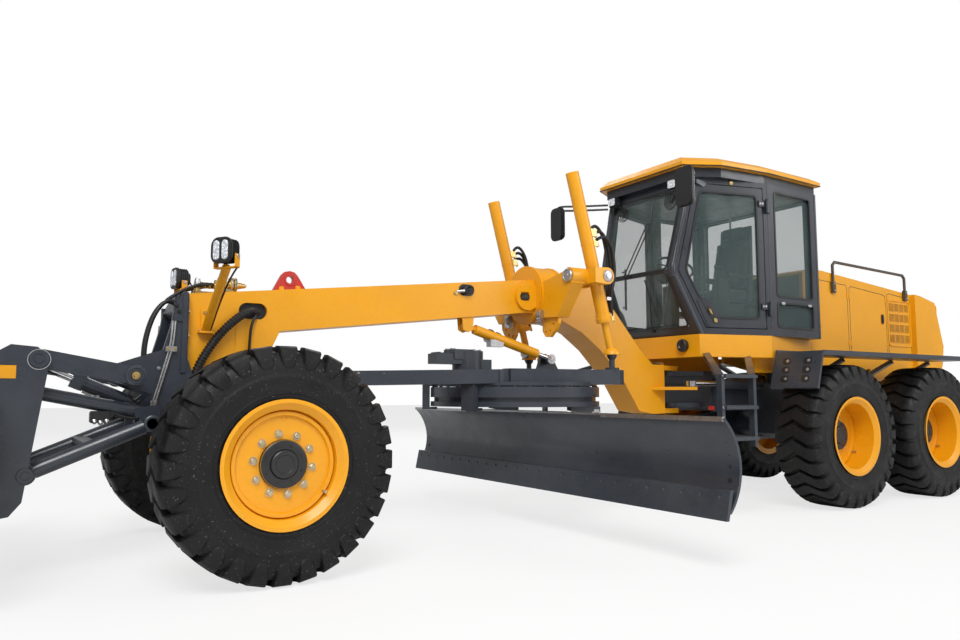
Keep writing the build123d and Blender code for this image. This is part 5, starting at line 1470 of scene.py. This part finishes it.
def seat():
    shell = bmesh.new()
    prism(shell, rounded([(905, 1668), (905, 1700), (1315, 1700), (1315, 1668)], 10), -248, 248, "y")
    # bellows of the suspension
    for i in range(6):
        inset, low = (i % 2) * 12, 1700 + i * 48
        box(shell, (930 + inset, -215 + inset, low), (1290 - inset, 215 - inset, low + 48))
    prism(shell, rounded([(880, 1990), (880, 2022), (1360, 2022), (1360, 1990)], 12), -236, 236, "y")
    prism(shell, rounded([(790, 2040), (776, 2850), (806, 2850), (880, 2100), (890, 2030)], 12), -200, 200,
          "y")
    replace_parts(piece("seat_frame", shell, "black", "rear_unit", bevel=4), "cab_interior")
    cushion("seat_cushion", [(890, 2032), (1360, 2032), (1370, 2108), (1010, 2124), (896, 2128)], -214, 214,
            0.014, (-120, 120))
    cushion("seat_back", [(886, 2160), (1000, 2160), (900, 2600), (884, 2700), (822, 2700), (826, 2500)],
            -204, 204, 0.012, (-110, 110))
    cushion("head_rest", [(814, 2736), (894, 2736), (880, 2846), (806, 2846)], -120, 120, 0.009, ())
    bars = bmesh.new()
    for hand in bothSides:
        rod(bars, (842, hand * 60, 2690), (848, hand * 60, 2750), 7)
        # fold-down arm rests
        prism(bars, rounded([(900, 2250), (900, 2310), (1210, 2300), (1216, 2262), (1010, 2250)], 14),
              hand * 206, hand * 236, "y")
    piece("seat_arms", bars, "black", "rear_unit", bevel=3)


wheelSetup = {"spot": (1756, 0, 2334), "lean": (-0.5, 0, 1), "radius": 0.186, "grip": 0.013, "steps": 48,
              "sides": 10}


def driving():
    bm = bmesh.new()
    spot, way = Vector(wheelSetup["spot"]), Vector(wheelSetup["lean"]).normalized()
    centre = at(*spot)
    first = way.orthogonal().normalized()
    second = way.cross(first)
    grip = onCircle(wheelSetup["grip"], wheelSetup["sides"])
    rings = [[bm.verts.new(centre + (first * a + second * b) * (wheelSetup["radius"] + out) + way * up)
              for out, up in grip] for a, b in onCircle(1, wheelSetup["steps"])]
    for one, two in zip(rings, rings[1:] + rings[:1]):
        bridge(bm, one, two)
    lathe(bm, spot - way * 16, way, [(0, 0), (0, 48), (20, 44), (26, 30), (28, 0)], 24)
    for i in range(3):
        a = 2 * math.pi * i / 3 + 0.5
        out = first * math.cos(a) + second * math.sin(a)
        rod(bm, spot - way * 4, spot + out * 184, 9, 10)
    piece("steering_wheel", bm, "black", "rear_unit")
    bm = bmesh.new()
    lathe(bm, (1900, 0, 1668), Vector((-140, 0, 650)),
          [(0, 0), (0, 70), (40, 70), (60, 54), (520, 46), (540, 60), (640, 54), (650, 0)], 24)
    prism(bm, rounded([(1700, 2210), (1722, 2290), (1800, 2310), (1836, 2200), (1800, 2170)], 14), -150,
          150, "y")
    piece("steering_column", bm, "black", "rear_unit", bevel=3)
    # consoles with banks of levers
    bm, knobs = bmesh.new(), bmesh.new()
    for hand in bothSides:
        prism(bm, rounded([(1390, 1672), (1380, 2120), (1420, 2196), (1550, 2196), (1558, 1672)], 20),
              hand * 302, hand * 378, "y")
        for i in range(5):
            x = 1408 + i * 30
            rod(bm, (x, hand * 340, 2190), (x + 6, hand * 334, 2300), 5, 10)
            lathe(knobs, (x + 6, hand * 334, 2296), upwards,
                  [(0, 0), (0, 9), (10, 15), (26, 15), (36, 8), (38, 0)], 14)
    piece("consoles", bm, "black", "rear_unit", bevel=4)
    piece("lever_knobs", knobs, "black", "rear_unit")


def cabLining():
    bm = bmesh.new()
    for hand in bothSides:
        # round fan by the windscreen
        for i in range(3):
            near, inner, outer = i * 14, 70 - i * 12, 76 - i * 12
            lathe(bm, (2150, hand * 330, 2900), backwards,
                  [(near, inner), (near, outer), (near + 6, outer), (near + 6, inner), (near, inner)], 28)
        for y, z in onCircle(72, 8, 0, (hand * 330, 2900)):
            rod(bm, (2140, hand * 330, 2900), (2140, y, z), 3, 8)
        rod(bm, (2120, hand * 330, 2890), (2120, hand * 420, 3060), 10, 12)
    piece("cab_fans", bm, "black", "rear_unit")
    bm = bmesh.new()
    prism(bm, rounded([(560, 3050), (560, 3075), (2070, 3075), (2080, 3040), (1980, 3010), (1900, 3050)],
                      10), -600, 600, "y")
    piece("head_lining", bm, "slate", "rear_unit", bevel=4)
    bm = bmesh.new()
    for y in (-200, 200):
        rod(bm, (640, y, 2010), (640, y, 3040), 12)
    piece("cab_bars", bm, "steel", "rear_unit")


seat()
driving()
cabLining()
print("cab furnished")


# Hood, rear duct, fenders, ladders and frame details
hoodSetup = {"half": 550, "seam": (7, 1.2), "latch": (-1020, 1900)}


def hoodTop(x):
    # height of the hood's top at a station
    if x >= 300:
        return 2375 - (x - 300) * 45 / 140
    return 2370 - (100 - x) * 145 / 1740 if x < 100 else 2372


def hoodFittings():
    half, seam, latch = hoodSetup["half"], hoodSetup["seam"], hoodSetup["latch"]
    seams, latches, rings = bmesh.new(), bmesh.new(), bmesh.new()
    # shut lines of the two side doors and of the louvred panel
    loops = [[(low, 1480), (low, hoodTop(low) - 90), (high, hoodTop(high) - 90), (high, 1480)]
             for low, high in ((-1100, -390), (-350, 330))]
    loops.append([(-1610, 1470), (-1610, 2170), (-1130, 2210), (-1130, 1470)])
    for hand in bothSides:
        for loop in loops:
            sideStrip(seams, hand, rounded(loop, 46), half, *seam)
        sidePrism(latches, hand, roundRect(latch, 54, 110, 26, 8), (half, half + 7))
        sidePrism(latches, hand, roundRect(latch, 24, 74, 11, 6), (half, half + 13))
        sideStrip(rings, hand, roundRect(latch, 68, 124, 33, 8), half, 9, 5)
        # hinges
        for x in (-1100, -390, -350, 330):
            for z in (1600, 2130):
                sideBox(rings, hand, (x - 14, x + 14), (half, half + 6), (z - 32, z + 32))
    piece("hood_seams", seams, "black", "rear_unit")
    piece("hood_latches", latches, "black", "rear_unit", bevel=3)
    piece("hood_latch_rings", rings, "yellow", "rear_unit", bevel=2)


def louvrePanels():
    half = hoodSetup["half"]
    rims, backs = bmesh.new(), bmesh.new()
    loop = rounded([(-1600, 1600), (-1600, 2130), (-1138, 2130), (-1138, 1600)], 40)
    for hand in bothSides:
        sideStrip(rims, hand, loop, half, 20, 9)
        for row in range(4):
            z = 1640 + 122 * row
            # dark plates behind the slots: painted shade of the hood's inside
            sideBox(backs, hand, (-1573, -1165), (half - 16, half - 3), (z - 2, z + 94))
            # pressed slats between the slots
            for i in range(8):
                lip = z - 1 + i * 12.4
                slat = [(-1570, lip), (-1570, lip + 7), (-1168, lip + 7), (-1168, lip)]
                sidePrism(rims, hand, slat, (half - 8, half + 5))
            for x in (-1470, -1369, -1268):
                sideBox(rims, hand, (x - 7, x + 7), (half - 8, half + 3), (z, z + 92))
    piece("louvre_backs", backs, "black", "rear_unit", bevel=2)
    piece("louvre_slats", rims, "yellow", "rear_unit", bevel=1)


def rearFittings():
    # grille of the duct's rear face, its frame and lamps
    frameBm, ductShade, lamps, ambers = bmesh.new(), bmesh.new(), bmesh.new(), bmesh.new()
    loop = rounded([(-520, 1330), (-520, 2140), (520, 2140), (520, 1330)], 40)
    strip(frameBm, [(-2240, y, z) for y, z in loop], 34, 12, backwards)
    # dark sheet behind the slats: painted shade of the duct's inside
    box(ductShade, (-2243, -500, 1350), (-2238, 500, 2120))
    for i in range(19):
        z = 1372 + i * 40
        prism(frameBm, [(-2241, z), (-2241, z + 5), (-2256, z - 6), (-2256, z - 11)], -505, 505, "y")
    for y in (-250, 0, 250):
        box(frameBm, (-2252, y - 9, 1345), (-2240, y + 9, 2125))
    for hand in bothSides:
        for z in (1000, 1110):
            prism(lamps, roundRect((hand * 540, z), 130, 84, 20, 5), -2124, -2108, "x")
            prism(ambers, roundRect((hand * 540, z), 108, 62, 14, 5), -2130, -2124, "x")
    piece("duct_grille", frameBm, "yellow", "rear_unit", bevel=2)
    piece("duct_dark", ductShade, "black", "rear_unit", bevel=1)
    piece("tail_lamps", lamps, "black", "rear_unit", bevel=3)
    piece("tail_lenses", ambers, "amber", "rear_unit", bevel=2)
    spots = [((-2110, hand * y, z), backwards) for hand in bothSides for y in (160, 320, 420)
             for z in (860, 1170)]
    boltsAt("counterweight_bolts", spots, 30, "steel", "rear_unit")
    bm = bmesh.new()
    # tow hitch: two ears with a pin
    for y in (-46, 46):
        prism(bm, rounded([(-2112, 830), (-2112, 960), (-2200, 950), (-2222, 895), (-2200, 840)], 26),
              y - 12, y + 12, "y")
    lathe(bm, (-2180, 0, 830), upwards, [(0, 0), (0, 20), (120, 20), (122, 30), (134, 30), (134, 0)], 24)
    piece("tow_hitch", bm, "slate", "rear_unit", bevel=3)
    bm = bmesh.new()
    # exhaust on the hood, with its clamp
    lathe(bm, (-620, -180, hoodTop(-620) - 4), upwards,
          [(0, 0), (0, 92), (10, 92), (10, 66), (26, 66), (26, 56), (90, 56), (92, 50), (86, 50), (20, 48),
           (20, 0)], 32)
    piece("exhaust_stub", bm, "black", "rear_unit")
    bm = bmesh.new()
    for x, y in ((-200, 260), (-1300, 240)):
        lathe(bm, (x, y, hoodTop(x) - 3), upwards,
              [(0, 0), (0, 70), (16, 70), (20, 64), (22, 30), (34, 28), (36, 0)], 32)
    piece("filler_caps", bm, "yellow", "rear_unit", bevel=2)
    bm = bmesh.new()
    for hand in bothSides:
        for x in (-1490, -75):
            sideBox(bm, hand, (x - 30, x + 30), (548, 584), (2138, 2262))
    piece("rail_feet", bm, "bronze", "rear_unit", bevel=4)
    spots = [((x, hand * 584, z), (0, hand, 0)) for hand in bothSides for x in (-1490, -75)
             for z in (2165, 2238)]
    boltsAt("rail_foot_bolts", spots, 13, "steel", "rear_unit")


def fenderFittings():
    lips, rounds, fixings = bmesh.new(), bmesh.new(), []
    for hand in bothSides:
        # rolled outer lip along the deck and down the flap
        sideBox(lips, hand, (-1600, 1250), (1288, 1302), (1398, 1444))
        sideBox(lips, hand, (-1600, 1262), (800, 812), (1440, 1462))
        # deck's grip bars
        for i in range(36):
            x = -1560 + i * 76
            if not -40 < x < 1230:
                sidePrism(lips, hand, [(x, 1439), (x + 6, 1446), (x + 14, 1446), (x + 20, 1439)],
                          (880, 1240))
        for row in range(3):
            for column in range(2):
                y, t = hand * (940 + column * 220), 0.22 + row * 0.26
                spot = Vector((1354 - t * 92, y, 1112 + t * 320))
                way = Vector((0.96, 0, 0.27))
                one, two = Vector((0, 1, 0)), Vector((-0.27, 0, 0.96))
                loft(rounds, [[rounds.verts.new(at(*(spot + way * level + one * a + two * b)))
                               for a, b in roundRect((0, 0), 84, 66, 24, 5)] for level in (3, 6)])
                fixings.append((tuple(spot + way * 6 + one * 14), tuple(way)))
    piece("fender_lips", lips, "slate", "rear_unit", bevel=1)
    piece("flap_windows", rounds, "black", "rear_unit", bevel=1)
    boltsAt("flap_fixings", fixings, 17, "steel", "rear_unit")


def ladderFittings():
    treads, feet = bmesh.new(), []
    for hand in bothSides:
        y = hand * 1200
        for z in (670, 930, 1190):
            for i in range(7):
                x = 2170 + i * 54
                prism(treads, [(x - 12, z + 13), (x - 6, z + 20), (x + 6, z + 20), (x + 12, z + 13)],
                      y - 52, y + 52, "y")
            feet += [((x, y + hand * 28, z), (0, hand, 0)) for x in (2130, 2530)]
    piece("ladder_grips", treads, "slate", "rear_unit", bevel=1)
    boltsAt("ladder_bolts", feet, 15, "steel", "rear_unit")


def hitchFittings():
    # pin caps and red lock bars round the articulation, and the bolts along the frame rails
    bm, caps = bmesh.new(), []
    for z in (1512, 806):
        lathe(bm, (1640, 0, z), upwards, [(0, 0), (0, 70), (12, 70), (18, 60), (18, 26), (14, 24), (14, 0)],
              36)
    piece("hitch_pin_caps", bm, "steel", "rear_unit")
    bm = bmesh.new()
    for hand in bothSides:
        prism(bm, roundRect((1500, 905), 430, 46, 22, 8), hand * 346, hand * 362, "y")
        lathe(bm, (1330, hand * 362, 905), (0, hand, 0), disc(15, 12), 20)
    piece("lock_bars", bm, "red", "rear_unit", bevel=4)
    for hand in bothSides:
        caps += [((x, hand * 340, z), (0, hand, 0)) for x in (-1800, -1500, -1000, -300, 300, 900)
                 for z in (940, 1090)]
    boltsAt("rail_bolts", caps, 22, "steel", "rear_unit")


hoodFittings()
louvrePanels()
rearFittings()
fenderFittings()
ladderFittings()
hitchFittings()
print("rear dressed")


# Moldboard, circle and drawbar details
moldSetup = {"edgeFace": 3880, "boltZ": 424, "boltPitch": 153, "lean": 0.28}


def moldFace(z):
    # forward station of the moldboard's hollow face at a height
    return 3789 + 0.00146 * (z - 612) ** 2


def moldFittings():
    # bolts along the cutting edge, heads in the face and nuts behind
    heads, nuts = [], []
    z, lean = moldSetup["boltZ"], moldSetup["lean"]
    for i in range(26):
        y = -1500 + i * moldSetup["boltPitch"]
        heads.append(((moldSetup["edgeFace"] + 0.5, y, z), (0.96, 0, -lean)))
        nuts.append(((moldFace(z) - 26, y, z), (-0.96, 0, lean)))
    boltsAt("edge_bolt_heads", heads, 19, "edge", "moldboard")
    boltsAt("edge_bolt_nuts", nuts, 18, "steel", "moldboard")
    bm = bmesh.new()
    # painted highlight: a bright steel strip along the top edge, in three lengths
    for low, high, drop in ((-1562, -560, 16), (-556, 1300, 8), (1304, 2397, 22)):
        box(bm, (3906, low, 900 - drop), (3929, high, 907))
    piece("mold_top_strip", bm, "steel", "moldboard", bevel=1)
    # black discs on the moldboard's face: painted shade of the end bits' bolt holes
    bm = bmesh.new()
    for y in (-1500, 2330):
        for z in (520, 600, 680, 760, 830):
            lathe(bm, (moldFace(z) - 4, y, z), forwards, disc(13, 6), 14)
    piece("end_bit_holes", bm, "black", "moldboard")
    bm = bmesh.new()
    for y in (-900, 900):
        lathe(bm, (3640, y, 855), (0, 1, 0), band(46, 62, 26), 32)
        box(bm, (3612, y - 4, 900), (3668, y + 30, 924))
    piece("shift_barrel_clamps", bm, "steel", "pitch_carrier", bevel=2)


def drawbarFittings():
    bm = bmesh.new()
    # top flanges of the drawbar's legs
    for hand in bothSides:
        outline = [(4120, hand * 430), (4120, hand * 520), (5880, hand * 60), (5880, hand * 24)]
        prism(bm, outline, 1184, 1194, "z")
    piece("drawbar_flanges", bm, "slate", "drawbar", bevel=3)
    spots = []
    for hand in bothSides:
        for i in range(9):
            share = i / 8
            spots.append(((4200 + share * 1500, hand * (460 - share * 350), 1194), upwards))
    boltsAt("drawbar_bolts", spots, 18, "steel", "drawbar")
    spots = [((x, y, 1400), upwards) for x, y in onCircle(104, 8, 0, (4250, 0))]
    boltsAt("gearbox_bolts", spots, 18, "steel", "drawbar")
    bm = bmesh.new()
    lathe(bm, (4250, 0, 1398), upwards, [(0, 0), (0, 82), (8, 82), (12, 74), (12, 0)], 32)
    for x in (4300, 4380, 4460, 4540):
        box(bm, (x, -66, 1374), (x + 30, 66, 1386))
    piece("motor_covers", bm, "slate", "drawbar", bevel=4)
    bm = bmesh.new()
    for s in bothSides:
        lathe(bm, (4420, s * 44, 1412), upwards, [(-2, 0), (-2, 22), (8, 22), (8, 0)], 20)
    piece("motor_unions", bm, "steel", "drawbar")
    bm = bmesh.new()
    lathe(bm, (6000, 0, 1150), upwards, [(60, 0), (60, 46), (74, 42), (78, 20), (78, 0)], 28)
    piece("ball_cap", bm, "steel", "drawbar")


def circleFittings():
    spots = [((x, y, 1100), upwards) for x, y in onCircle(706, 36, 0.5, (3770, 0))]
    boltsAt("circle_bolts", spots, 17, "slate", "circle")


moldFittings()
drawbarFittings()
circleFittings()
print("blade dressed")
